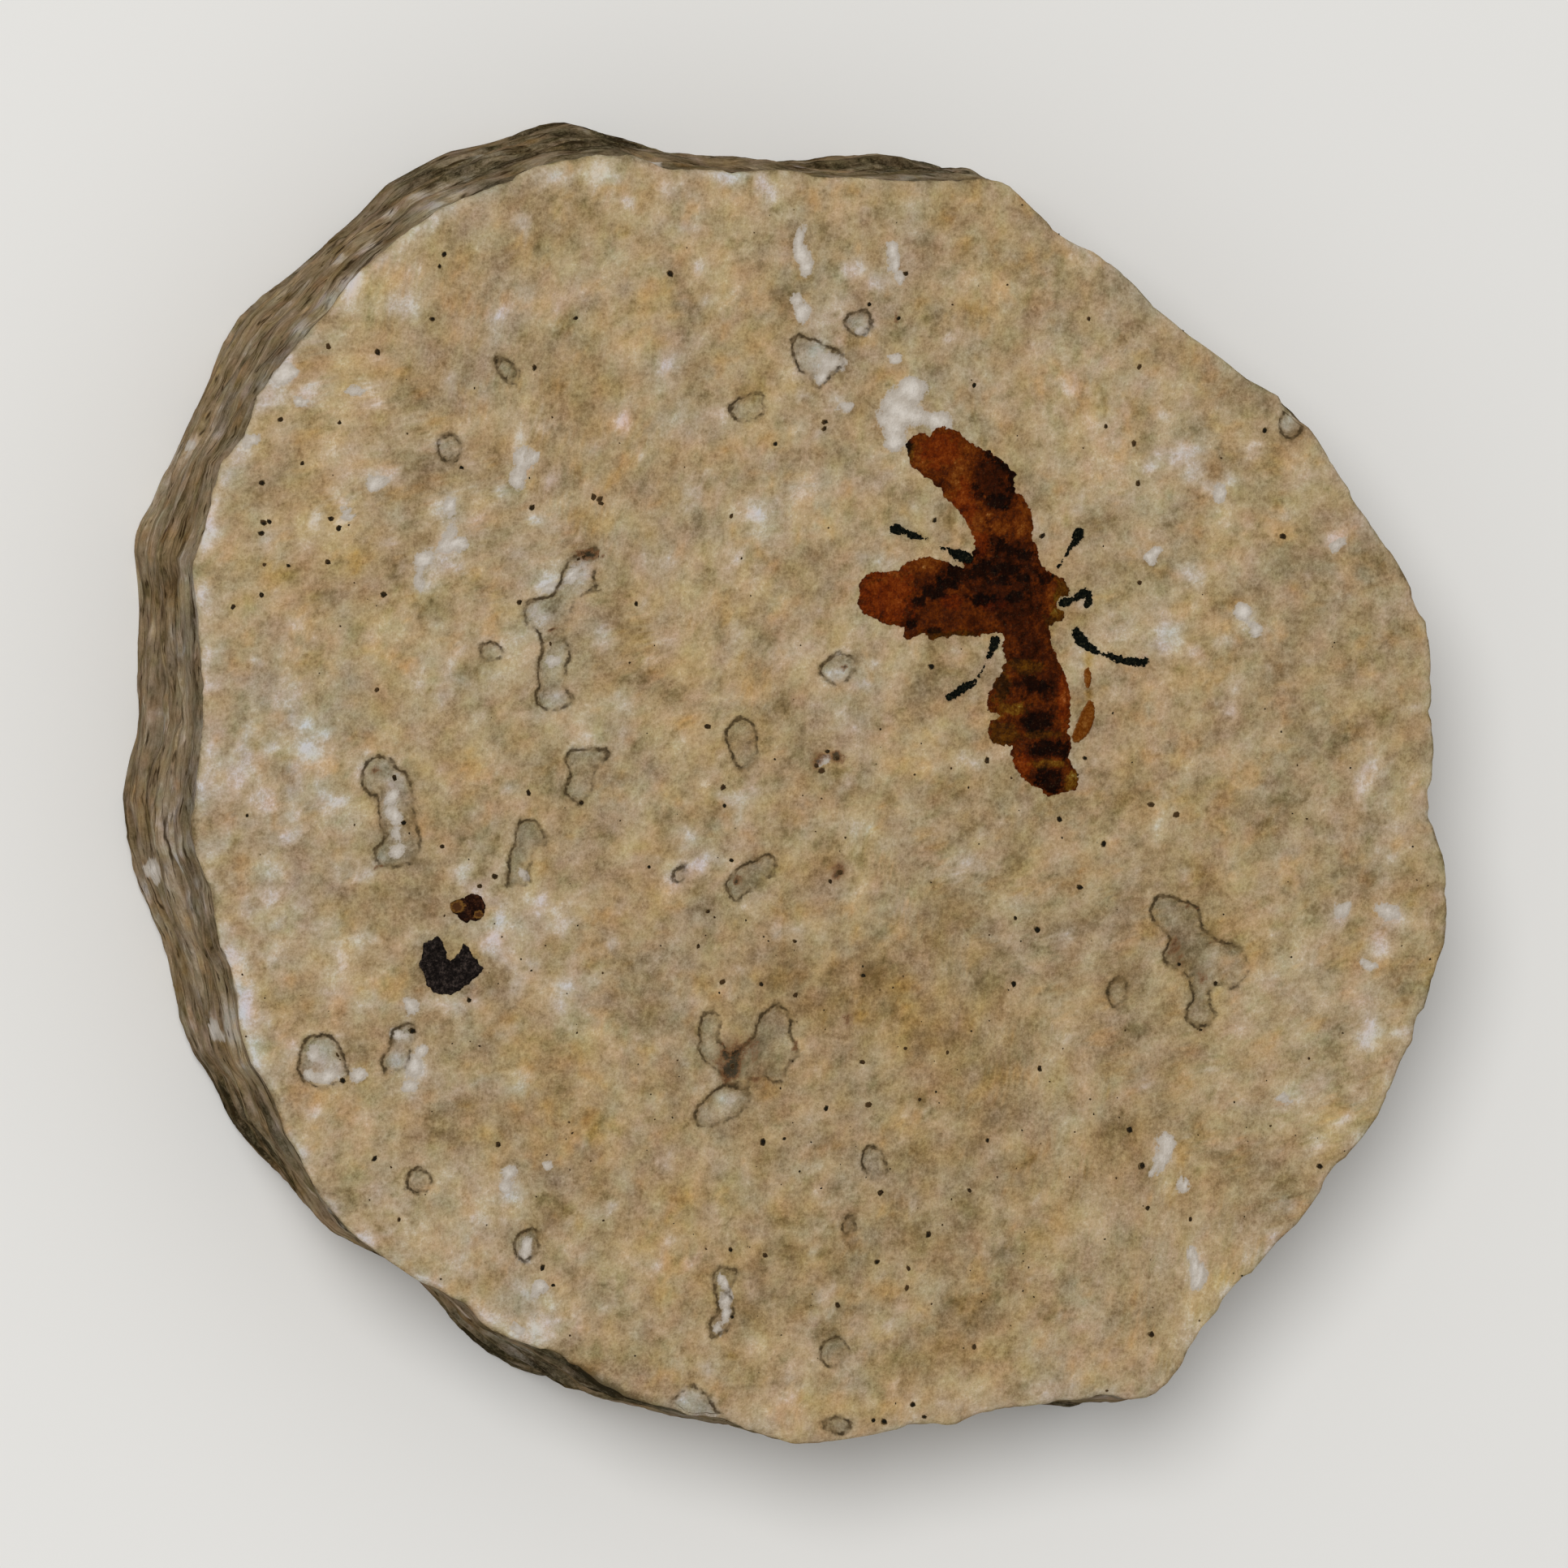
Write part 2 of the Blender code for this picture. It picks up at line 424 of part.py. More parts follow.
def inside(outline, x, y):
    """Whether a point lies inside an outline."""
    within = False
    for (x1, y1), (x2, y2) in zip(outline, outline[1:] + outline[:1]):
        if (y1 > y) != (y2 > y) and x < x1 + (x2 - x1) * (y - y1) / (y2 - y1):
            within = not within
    return within


def distance_to_edge(outline, x, y):
    """The distance from a point to the nearest edge of an outline."""
    point = Vector((x, y))
    best = math.inf
    for start, end in zip(outline, outline[1:] + outline[:1]):
        nearest, share = geometry.intersect_point_line(point, Vector(start), Vector(end))
        nearest = Vector(start).lerp(Vector(end), min(1.0, max(0.0, share)))
        best = min(best, (point - nearest).length)
    return best


def fly_height(x, y):
    """The height of the fly's film over its underside: wings thin, body swollen and segmented."""
    swelling = 0.0
    for centre, half_x, half_y, share in FLY_SWELLINGS:
        away = math.hypot((x - centre[0]) / half_x, (y - centre[1]) / half_y)
        if away < 1.0:
            swelling = max(swelling, share * math.sqrt(1.0 - away * away))
    for groove in SEGMENT_GROOVES:
        near = max(0.0, 1.0 - abs(y - groove) / GROOVE_HALF_WIDTH)
        swelling *= 1.0 - GROOVE_SHARE * near
    return WING_THICKNESS + BODY_RELIEF * swelling


def fly_grid_points():
    """Points inside the fly's outline that carry its relief."""
    lowest_x = min(point[0] for point in FLY_OUTLINE)
    highest_x = max(point[0] for point in FLY_OUTLINE)
    lowest_y = min(point[1] for point in FLY_OUTLINE)
    highest_y = max(point[1] for point in FLY_OUTLINE)
    columns = int((highest_x - lowest_x) / FLY_GRID_SPACING) + 1
    rows = int((highest_y - lowest_y) / FLY_GRID_SPACING) + 1
    points = []
    for row in range(rows):
        for column in range(columns):
            x = lowest_x + (column + 0.5 * (row % 2)) * FLY_GRID_SPACING
            y = lowest_y + row * FLY_GRID_SPACING
            if inside(FLY_OUTLINE, x, y) and distance_to_edge(FLY_OUTLINE, x, y) > FLY_GRID_MARGIN:
                points.append((x, y))
    return points


def march_fly(parent):
    """The fly's wings, thorax, head and abdomen as one film with a low relief."""
    centre = middle(FLY_OUTLINE)
    edge = len(FLY_OUTLINE)
    flat = [Vector(point) for point in FLY_OUTLINE] + [Vector(point) for point in fly_grid_points()]
    result = geometry.delaunay_2d_cdt(flat, [], [list(range(edge))], 1, 1e-6)
    places, faces = result[0], result[2]
    rim = [index for index, sources in enumerate(result[3]) if any(s < edge for s in sources)]
    rim.sort(key=lambda index: min(s for s in result[3][index] if s < edge))
    bm = bmesh.new()
    top = []
    for index, place in enumerate(places):
        height = FLY_EDGE_THICKNESS if index in set(rim) else fly_height(place.x, place.y)
        top.append(bm.verts.new(((place.x - centre[0]) * MM, (place.y - centre[1]) * MM, height)))
    for face in faces:
        bm.faces.new([top[index] for index in face])
    bottom = [bm.verts.new((top[index].co.x, top[index].co.y, 0.0)) for index in rim]
    for this in range(edge):
        after = (this + 1) % edge
        bm.faces.new((bottom[this], bottom[after], top[rim[after]], top[rim[this]]))
    bm.faces.new(bottom)
    place = (centre[0] * MM, centre[1] * MM, SLAB_THICKNESS + FILM_GAP)
    return make_object("march_fly", bm, fly_material(), parent, place)


def build():
    clear_scene()
    parent = bpy.data.objects.new("fossil_march_fly", None)
    bpy.context.scene.collection.objects.link(parent)
    shale_slab(parent)
    march_fly(parent)
    leg("leg_upper_left", LEG_UPPER_LEFT, parent)
    leg("leg_lower_left", LEG_LOWER_LEFT, parent)
    leg("leg_upper_right", LEG_UPPER_RIGHT, parent)
    leg("leg_middle_right", LEG_MIDDLE_RIGHT, parent)
    leg("leg_lower_right", LEG_LOWER_RIGHT, parent)
    film("amber_scrap", AMBER_SCRAP, SCRAP_THICKNESS, amber_material(), parent)
    film("amber_fleck", AMBER_FLECK, SCRAP_THICKNESS, amber_material(), parent)
    film("dark_plant_scrap", DARK_SCRAP, SCRAP_THICKNESS, dark_scrap_material(), parent)
    film("brown_plant_scrap", BROWN_SCRAP, SCRAP_THICKNESS, brown_scrap_material(), parent)


build()
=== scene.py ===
"""The looks of the fossil march fly on its slab of pale shale.

The slab gets a fine broken skin, the fly and the scraps beside it become thin ragged films, and
specks of mineral lie on the face. The camera, the light and a plain floor follow.

Lengths are millimetres until a mesh is made. Places read from the photograph are pixels in its
frame of 1932 by 1932, and become points of the slab through the photograph's own camera.
"""
import math
import random

import bpy
import numpy as np
from mathutils import Matrix, Vector, geometry, noise
from mathutils.bvhtree import BVHTree


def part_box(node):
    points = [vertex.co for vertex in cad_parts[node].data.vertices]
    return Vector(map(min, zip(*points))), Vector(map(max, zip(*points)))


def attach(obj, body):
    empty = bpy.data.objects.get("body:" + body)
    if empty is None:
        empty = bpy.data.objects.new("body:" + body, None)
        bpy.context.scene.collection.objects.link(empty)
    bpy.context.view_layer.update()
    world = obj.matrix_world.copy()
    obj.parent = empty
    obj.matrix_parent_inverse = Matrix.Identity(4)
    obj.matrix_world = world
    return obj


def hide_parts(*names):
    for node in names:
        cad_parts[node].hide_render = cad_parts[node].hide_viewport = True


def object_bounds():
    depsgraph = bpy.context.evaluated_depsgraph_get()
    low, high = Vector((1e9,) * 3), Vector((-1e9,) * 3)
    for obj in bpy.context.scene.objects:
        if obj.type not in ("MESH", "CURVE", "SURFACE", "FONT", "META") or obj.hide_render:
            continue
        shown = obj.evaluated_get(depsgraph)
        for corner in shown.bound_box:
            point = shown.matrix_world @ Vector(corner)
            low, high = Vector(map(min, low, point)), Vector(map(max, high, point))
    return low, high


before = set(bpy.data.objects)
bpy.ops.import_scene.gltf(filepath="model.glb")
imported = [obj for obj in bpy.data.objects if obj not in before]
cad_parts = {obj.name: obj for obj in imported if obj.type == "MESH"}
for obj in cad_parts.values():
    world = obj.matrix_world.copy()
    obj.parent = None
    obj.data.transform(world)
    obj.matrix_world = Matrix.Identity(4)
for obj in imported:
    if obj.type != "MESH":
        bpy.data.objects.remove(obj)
cad_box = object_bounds()

MM = 0.001
BODY = "root"

# The photograph's frame and its camera: a long lens that looks down a little from the left
PHOTO_SIDE = 1932
SENSOR = 36.0
LENS = 250.0
TILT = math.radians(15.0)
TOWARDS = math.radians(169.0)
PIXEL = 0.025
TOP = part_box("shale_slab")[1].z / MM
AIM = Vector((-1.155, 0.0, TOP))

# How near and how far the camera sees, the light and the floor, in metres but for the floor's drop
CLIP_FROM = 0.01
CLIP_TO = 20.0
WORLD_COLOUR = (1.0, 0.995, 0.985, 1.0)
WORLD_STRENGTH = 0.5
KEY_PLACE = (-0.22, 0.16, 0.6)
KEY_SIZE = 0.3
KEY_POWER = 2.4
FLOOR_HALF_WIDTH = 3.0
FLOOR_DROP = 0.02

# Smooth noise by name: strength, wavelength, seed, octaves, and how fast the finer octaves fade
NOISES = {
    "face": (1.0, 1.2, 3.0, 2, 1.0),
    "face grain": (0.032, 0.42, 8.0, 2, 1.0),
    "bed depth": (1.0, 3.2, 21.0, 3, 1.0),
    "bed drift": (0.16, 6.0, 31.0, 2, 1.0),
    "bed tone": (0.16, 6.0, 291.0, 2, 1.0),
    "wall": (0.05, 1.3, 41.0, 4, 1.0),
    "wall grain": (0.03, 0.35, 43.0, 2, 1.0),
    "rim bites": (1.0, 1.1, 51.0, 3, 1.0),
    "underside": (1.0, 3.5, 61.0, 4, 1.0),
    "flake along X": (1.0, 0.5, 73.0, 2, 0.4),
    "flake along Y": (1.0, 0.5, 77.0, 2, 0.4),
    "patch along X": (0.16, 0.7, 261.0, 2, 0.3),
    "patch along Y": (0.16, 0.7, 263.0, 2, 0.3),
    "patch along Z": (0.16, 0.7, 265.0, 2, 0.3),
    "wisps": (1.0, 0.6, 231.0, 2, 0.3),
    "frost": (1.2, 2.0, 241.0, 3, 0.4),
    "milk": (1.1, 1.3, 251.0, 3, 0.35),
    "wall_patches": (1.0, 1.0, 285.0, 3, 0.3),
    "tone": (0.16, 2.0, 201.0, 3, 0.0),
    "wall tone": (0.08, 5.0, 281.0, 2, 1.0),
    "broad warmth": (0.6, 3.4, 211.0, 2, 0.4),
    "warmth": (1.0, 0.9, 213.0, 2, 0.25),
    "greenness": (1.2, 0.8, 221.0, 2, 0.1),
    "rust": (1.0, 1.1, 271.0, 3, 0.4),
    "smudges": (1.0, 0.8, 273.0, 3, 0.4),
    "fly relief": (0.018, 0.22, 91.0, 3, 1.0),
    "fly grain": (0.008, 0.09, 93.0, 2, 1.0),
    "fly tears": (0.42, 0.26, 95.0, 4, 0.2),
    "fly tone": (0.09, 0.6, 97.0, 4, 0.1),
}

# The slab's face
FACE_CELLS = 216
FACE_RELIEF = 0.07
RIM_CRUMBLE = 0.16
RIM_ROUNDING = 0.05
RIM_ROUND_WIDTH = 0.35
FLAKE_STEP = 0.16
FLAKE_UNEVENNESS = 0.1
FLAKE_DEPTH = 0.13
SHALLOW_DEPTH = 0.03
FLAKE_RAMP = 0.12
FLAKE_SNAP = 0.1
SNAP_WITHIN = 0.97
OVAL_SIDES = 14
CHALK_RELIEF = 0.03
BLOTCH_LEAN = math.radians(-62.0)
BLOTCH_SQUEEZE = 0.85
WALL_PATCH_STRETCH = (0.3, 0.3, 1.5)

# What counts as a level face of a solid, and between which depths it is the floor of a lost flake
LEVEL = 0.99
PIT_DEPTHS = (0.05, 0.6)

# The slab's wall and underside; the rim's rings lie by these drops under the face's edge
OUTSIDE = 40.0
RING_RADIUS = 20.0
UNDER_RIM = 0.01
OVER_FOOT = 0.001
RIM_DROPS = (0.46, 0.34, 0.23, 0.14, 0.07)
RIM_FALL = 0.55
RIM_FACE_RINGS = 3
LAMINA_COUNT = 22
LAMINA_SEED = 11
LAMINA_THINNEST = 0.55
LAMINA_MARGIN = 0.1
BED_APART = 9.7
LEDGE = 0.035
LEDGE_DEPTH = 0.17
FOOT_RISE = 0.12
FOOT_FADE = 0.15
ROUGH_FROM = 0.4
WALL_BIAS = 0.05
UNDERSIDE_SPACING = 0.9
UNDERSIDE_RELIEF = 0.12
BOX_MARGIN = 1e-4

# White frost along the rim: where it begins and ends, in degrees round the slab, and its width
FROST_FROM = (112.0, 130.0)
FROST_TO = (238.0, 252.0)
FROST_WIDTH = 0.9
FROST_HEIGHT = 0.5

# Films: how deep they sink in the rock, and how high their edges stand
FILM_SUNK = 0.06
FILM_EDGE = 0.022

# A film may reach this many cells past its outline, and rays start this high over the slab's top
RAGGED_REACH = 4.0
ABOVE = 5.0

# The fly's film
FLY_CELL = 0.035
FLY_RAGGEDNESS = 0.07
FLY_RAGGED_WAVE = 0.17
FLY_SEED = 81.0
FLY_RISE = 0.8
FLY_EDGE_WIDTH = 0.16

# Small films: grid cell, raggedness of the edge and its wavelength, seed and height
LEG_FILM = (0.014, 0.075, 0.12, 101.0, 0.09)
LEG_SEED_STEP = 7.0
AMBER_SCRAP_FILM = (0.02, 0.03, 0.12, 151.0, 0.08)
AMBER_FLECK_FILM = (0.02, 0.03, 0.1, 157.0, 0.06)
DARK_SCRAP_FILM = (0.02, 0.03, 0.12, 163.0, 0.09)
BROWN_SCRAP_FILM = (0.02, 0.025, 0.12, 167.0, 0.09)
SMALL_EDGE_WIDTH = 0.05
SMALL_RELIEF = 0.25
SMALL_RELIEF_WAVE = 0.08

# Flakes too shallow for the solid, as middles and half widths in pixels, and one with a drawn outline
SHALLOW_FLAKES = ((1032, 1757, 20, 10), (1593, 521, 15, 18), (1046, 1509, 9, 13))
RIM_FLAKE = ((829, 1730), (837, 1717), (853, 1704), (862, 1711), (874, 1723), (881, 1736), (892, 1747),
             (890, 1756), (862, 1751), (838, 1745), (824, 1740))

# Lost flakes with an outline of their own: each point is a pixel of the photograph
BOOT_FLAKE = ((700, 690), (711, 684), (722, 681), (734, 675), (741, 683), (736, 697), (733, 712),
              (737, 728), (723, 729), (714, 737), (707, 748), (701, 759), (696, 771), (695, 785),
              (700, 797), (702, 811), (697, 824), (695, 842), (699, 851), (707, 861), (703, 869),
              (692, 874), (682, 878), (670, 872), (662, 868), (660, 857), (665, 846), (666, 830),
              (665, 815), (669, 800), (667, 788), (660, 776), (650, 768), (648, 754), (652, 741),
              (669, 737), (684, 735), (690, 724), (693, 708))
FOOT_FLAKE = ((447, 962), (447, 950), (453, 938), (463, 931), (473, 931), (484, 938), (489, 949),
              (501, 952), (507, 964), (509, 985), (510, 1004), (515, 1020), (518, 1035), (515, 1050),
              (508, 1062), (497, 1069), (484, 1070), (471, 1067), (463, 1058), (463, 1045), (473, 1039),
              (479, 1030), (471, 1018), (468, 1003), (468, 988), (464, 979), (455, 979), (449, 972))
KEY_FLAKE = ((643, 1010), (651, 1009), (658, 1011), (665, 1018), (670, 1028), (674, 1035), (670, 1042),
             (662, 1048), (657, 1056), (653, 1066), (651, 1078), (653, 1088), (644, 1090), (635, 1089),
             (626, 1091), (628, 1078), (628, 1062), (628, 1051), (636, 1040), (639, 1028), (638, 1018))
COMMA_FLAKE = ((700, 930), (706, 922), (720, 923), (735, 925), (745, 922), (752, 930), (750, 937),
               (740, 943), (735, 950), (734, 962), (729, 972), (725, 982), (716, 990), (707, 984),
               (698, 976), (697, 968), (704, 962), (705, 955), (700, 945), (698, 938))
HOOK_FLAKE = ((869, 1248), (880, 1248), (888, 1254), (890, 1263), (885, 1272), (885, 1283), (893, 1291),
              (903, 1299), (913, 1292), (921, 1286), (929, 1279), (933, 1266), (938, 1252), (948, 1243),
              (960, 1237), (970, 1246), (977, 1260), (974, 1272), (981, 1285), (984, 1298), (977, 1308),
              (969, 1313), (967, 1330), (955, 1334), (946, 1329), (930, 1331), (918, 1331), (909, 1335),
              (897, 1331), (886, 1319), (875, 1311), (866, 1305), (861, 1294), (864, 1281), (865, 1265))
LOBE_FLAKE = ((880, 1345), (892, 1339), (906, 1339), (920, 1343), (925, 1352), (921, 1362), (914, 1370),
              (905, 1377), (892, 1383), (878, 1387), (862, 1387), (857, 1378), (858, 1367), (863, 1358),
              (872, 1352))
BONE_FLAKE = ((1426, 1103), (1445, 1106), (1460, 1110), (1474, 1117), (1481, 1130), (1484, 1143),
              (1490, 1152), (1503, 1160), (1518, 1163), (1530, 1168), (1536, 1180), (1539, 1192),
              (1537, 1205), (1530, 1213), (1520, 1219), (1508, 1215), (1498, 1212), (1491, 1222),
              (1492, 1240), (1497, 1250), (1490, 1262), (1481, 1271), (1472, 1268), (1466, 1258),
              (1463, 1245), (1470, 1235), (1471, 1222), (1467, 1208), (1462, 1200), (1450, 1194),
              (1438, 1186), (1434, 1175), (1440, 1166), (1443, 1158), (1434, 1148), (1425, 1140),
              (1420, 1128), (1422, 1112))
WEDGE_FLAKE = ((976, 420), (987, 412), (995, 416), (1008, 418), (1016, 424), (1022, 429), (1034, 432),
               (1041, 440), (1040, 452), (1028, 460), (1020, 471), (1010, 478), (1003, 474), (1001, 467),
               (993, 460), (985, 453), (981, 443), (978, 432))
EGG_FLAKE = ((895, 899), (903, 891), (911, 885), (920, 885), (928, 895), (932, 912), (934, 928),
             (930, 940), (922, 946), (916, 951), (909, 945), (903, 934), (897, 923), (894, 910))
LEAF_FLAKE = ((943, 1053), (952, 1056), (957, 1065), (953, 1077), (942, 1081), (938, 1090), (928, 1096),
              (919, 1103), (911, 1110), (902, 1106), (898, 1095), (896, 1085), (902, 1078), (912, 1070),
              (922, 1064), (932, 1062), (938, 1056))
LONG_FLAKE = ((884, 1563), (891, 1561), (905, 1562), (909, 1568), (905, 1580), (897, 1592), (902, 1602),
              (905, 1615), (904, 1628), (898, 1638), (892, 1643), (884, 1648), (879, 1646), (876, 1637),
              (876, 1630), (882, 1625), (887, 1618), (884, 1605), (883, 1590), (881, 1575))
CORNER_FLAKE = ((380, 1277), (392, 1274), (408, 1276), (415, 1284), (418, 1296), (425, 1305),
                (429, 1317), (431, 1328), (424, 1335), (412, 1336), (398, 1341), (384, 1338),
                (374, 1333), (369, 1320), (371, 1300), (374, 1286))
NEAR_CORNER_FLAKE = ((484, 1272), (495, 1264), (502, 1261), (510, 1262), (510, 1274), (506, 1286),
                     (505, 1300), (504, 1310), (495, 1318), (484, 1321), (474, 1320), (470, 1310),
                     (473, 1299), (480, 1290), (483, 1281))
DRAWN_FLAKES = (BOOT_FLAKE, FOOT_FLAKE, KEY_FLAKE, COMMA_FLAKE, HOOK_FLAKE, LOBE_FLAKE, BONE_FLAKE,
                WEDGE_FLAKE, EGG_FLAKE, LEAF_FLAKE, LONG_FLAKE, CORNER_FLAKE, NEAR_CORNER_FLAKE)
DRAWN_UNEVENNESS = 0.07
SAME_FLAKE = 0.4

# White mineral on the face as ovals in pixels: hard bright patches, then soft pale ones
CHALK = (
    (986, 296, 8, 14), (990, 312, 9, 16), (995, 328, 7, 10), (990, 386, 10, 13), (984, 370, 6, 8),
    (1099, 310, 8, 11), (1105, 324, 8, 12), (1108, 337, 6, 8), (1025, 446, 17, 11), (1012, 463, 9, 8),
    (1124, 483, 18, 15), (1106, 500, 20, 18), (1103, 524, 20, 20), (1103, 543, 15, 12), (1130, 511, 22, 16),
    (1156, 518, 18, 12), (1112, 508, 22, 26), (1066, 412, 9, 8), (646, 1082, 6, 8), (1017, 940, 8, 5),
    (640, 588, 12, 16), (645, 563, 12, 10), (657, 563, 7, 5), (649, 1534, 8, 12), (645, 1546, 6, 5),
    (484, 985, 8, 7), (486, 1006, 9, 10), (488, 1030, 5, 7), (488, 1050, 12, 8), (682, 724, 12, 8),
    (388, 1296, 5, 7), (402, 1327, 12, 7), (380, 1327, 7, 6), (510, 1242, 7, 12), (508, 1312, 8, 16),
    (702, 706, 8, 12), (686, 816, 8, 7), (889, 1578, 5, 9), (891, 1600, 7, 12), (893, 1622, 6, 10),
    (884, 1639, 8, 6), (1656, 1122, 11, 10), (1709, 1122, 14, 10), (1686, 1190, 7, 7), (436, 482, 8, 7),
    (372, 497, 9, 4), (350, 462, 12, 12), (311, 542, 9, 11), (429, 633, 9, 6), (556, 624, 8, 10),
    (558, 655, 7, 10), (566, 672, 9, 8), (552, 670, 9, 7), (519, 715, 7, 12), (524, 690, 10, 10),
    (465, 595, 11, 9), (1503, 610, 8, 11), (1533, 756, 12, 9), (1548, 777, 9, 7), (1418, 689, 7, 5),
    (1425, 680, 7, 5), (1649, 672, 10, 7), (1437, 1408, 11, 10), (1432, 1428, 12, 12), (1424, 1446, 9, 6),
    (1457, 1461, 9, 8), (1584, 1354, 10, 8), (1470, 1547, 7, 9), (1474, 1561, 8, 8), (1479, 1577, 10, 8),
    (626, 1446, 9, 9), (623, 1462, 7, 6), (664, 1588, 9, 7), (674, 1436, 5, 6), (636, 1637, 8, 5),
    (492, 1275, 9, 6), (523, 1296, 7, 6), (510, 1336, 9, 7), (440, 1326, 16, 9), (187, 1073, 7, 14),
    (260, 1273, 16, 14), (233, 545, 8, 7), (1104, 440, 9, 4), (1041, 503, 8, 7), (806, 197, 12, 5),
)
PALE = (
    (676, 712, 22, 22), (720, 706, 14, 18), (665, 760, 16, 22), (682, 860, 14, 10),
    (527, 710, 18, 32), (500, 705, 12, 12), (555, 665, 13, 28), (556, 620, 12, 16), (470, 588, 26, 17),
    (425, 640, 12, 14), (640, 545, 10, 20), (648, 575, 15, 30), (385, 487, 26, 15),
    (450, 474, 17, 9), (345, 470, 18, 24), (305, 550, 13, 22), (283, 580, 13, 18), (487, 373, 30, 20),
    (1008, 445, 30, 24), (1058, 400, 14, 12), (1079, 352, 9, 18), (1050, 330, 22, 9), (1034, 494, 14, 12),
    (487, 985, 16, 15), (484, 1005, 15, 16), (488, 1028, 15, 15), (488, 1049, 18, 15), (900, 1352, 20, 12),
    (850, 1722, 14, 14), (866, 1736, 20, 13), (880, 1748, 14, 9), (1068, 406, 16, 12), (648, 1536, 13, 18),
    (1470, 578, 16, 30), (1488, 600, 12, 9), (1472, 705, 17, 26), (1538, 765, 23, 19),
    (1440, 790, 22, 30), (1508, 790, 14, 11), (1645, 665, 16, 15), (1690, 1275, 21, 28),
    (1697, 1165, 14, 22), (1730, 1272, 10, 16), (1655, 1127, 15, 16), (1710, 1127, 19, 18),
    (1435, 1425, 17, 28), (1622, 1410, 13, 15), (1538, 1545, 12, 17), (1475, 1562, 13, 28),
    (728, 216, 28, 18), (645, 272, 14, 13), (775, 250, 13, 10), (630, 1475, 15, 30),
    (625, 1450, 15, 15), (665, 1640, 34, 22), (610, 1625, 26, 14), (854, 615, 14, 24), (822, 448, 18, 16),
    (687, 1219, 28, 28), (550, 1237, 46, 12), (744, 788, 14, 22),
    (327, 983, 17, 17), (262, 952, 22, 46), (331, 1074, 18, 16), (280, 1265, 36, 32), (405, 1322, 38, 16),
    (395, 1300, 17, 22), (455, 1322, 18, 14), (513, 1318, 16, 32), (490, 1305, 14, 14), (497, 1275, 12, 13),
    (690, 220, 34, 12), (900, 215, 40, 10), (1588, 522, 14, 15), (250, 730, 12, 26), (250, 975, 14, 24),
)
OVAL_REACH = 0.6
WHITE_WIDER = 3.0

# Regions of the face, as middles and half widths in pixels
BROWN_REGIONS = ((1080, 1290, 310, 240), (1150, 1540, 240, 150), (1430, 1050, 210, 120),
                 (1400, 1430, 160, 100))
CLOUDED_REGIONS = ((330, 1010, 190, 190), (690, 1150, 90, 70), (1460, 570, 90, 70))
OCHRE_REGIONS = ((571, 412, 52, 18), (842, 306, 24, 30), (578, 318, 34, 12), (343, 714, 22, 16),
                 (900, 900, 80, 60), (1120, 1250, 110, 60), (350, 1240, 34, 34), (430, 640, 50, 60),
                 (700, 1370, 90, 60), (950, 1345, 26, 16), (490, 1010, 30, 18), (1016, 938, 26, 20),
                 (1500, 1010, 30, 24), (1130, 1262, 30, 20))
GREENISH_REGIONS = ((1326, 763, 18, 16), (1104, 388, 16, 18), (545, 750, 22, 26), (382, 996, 26, 14),
                    (1250, 1120, 40, 30), (920, 1140, 40, 26), (700, 470, 60, 40), (1010, 640, 40, 30))
SHADE_REGIONS = ((1326, 763, 16, 14), (308, 1112, 14, 18), (382, 996, 20, 10), (545, 750, 14, 20),
                 (1104, 388, 12, 14), (530, 1395, 40, 14), (1220, 1020, 40, 16), (760, 1075, 24, 16))

# Small marks on the face in pixels: brown smears, near-black stains and an amber film
SMEARS = ((1006, 938, 12, 16), (1026, 934, 14, 10), (1032, 1075, 12, 15), (933, 1332, 20, 4),
          (722, 684, 20, 7), (464, 948, 12, 10), (1044, 1256, 10, 12), (905, 1300, 30, 24),
          (1447, 1168, 12, 14), (1484, 1200, 12, 14))
STAINS = ((903, 1318, 20, 16), (894, 1300, 12, 10), (728, 683, 16, 6), (1107, 384, 6, 10),
          (1104, 398, 6, 5), (1198, 691, 9, 5), (1289, 708, 9, 8), (1302, 716, 9, 6), (975, 1290, 6, 16),
          (685, 778, 5, 6), (1453, 1184, 6, 9), (1445, 1158, 6, 5), (1482, 1268, 7, 4), (464, 1070, 8, 5),
          (873, 1269, 3, 3), (912, 1083, 9, 7), (1040, 823, 8, 8), (1464, 1114, 10, 4), (1494, 1160, 8, 4),
          (1005, 945, 5, 7), (1001, 928, 6, 4), (1030, 930, 6, 4))
AMBER_MARKS = ((1341, 815, 6, 14), (1342, 854, 4, 8))
SMEAR_STRENGTH = 0.7
PATCH_TEAR = 0.4
CHALK_TEAR = 0.3

# Kinds of region: their ovals, how far wisps tear them, and the soft step from their edge inwards
REGIONS = {
    "brown": (BROWN_REGIONS, 0.0, -0.3, 0.7),
    "clouded": (CLOUDED_REGIONS, 0.0, -0.3, 0.6),
    "ochre": (OCHRE_REGIONS, 0.5, -0.1, 0.9),
    "greenish": (GREENISH_REGIONS, 0.5, -0.1, 0.8),
    "shaded": (SHADE_REGIONS, 0.4, -0.1, 0.6),
    "amber": (AMBER_MARKS, 0.0, -0.2, 0.4),
}

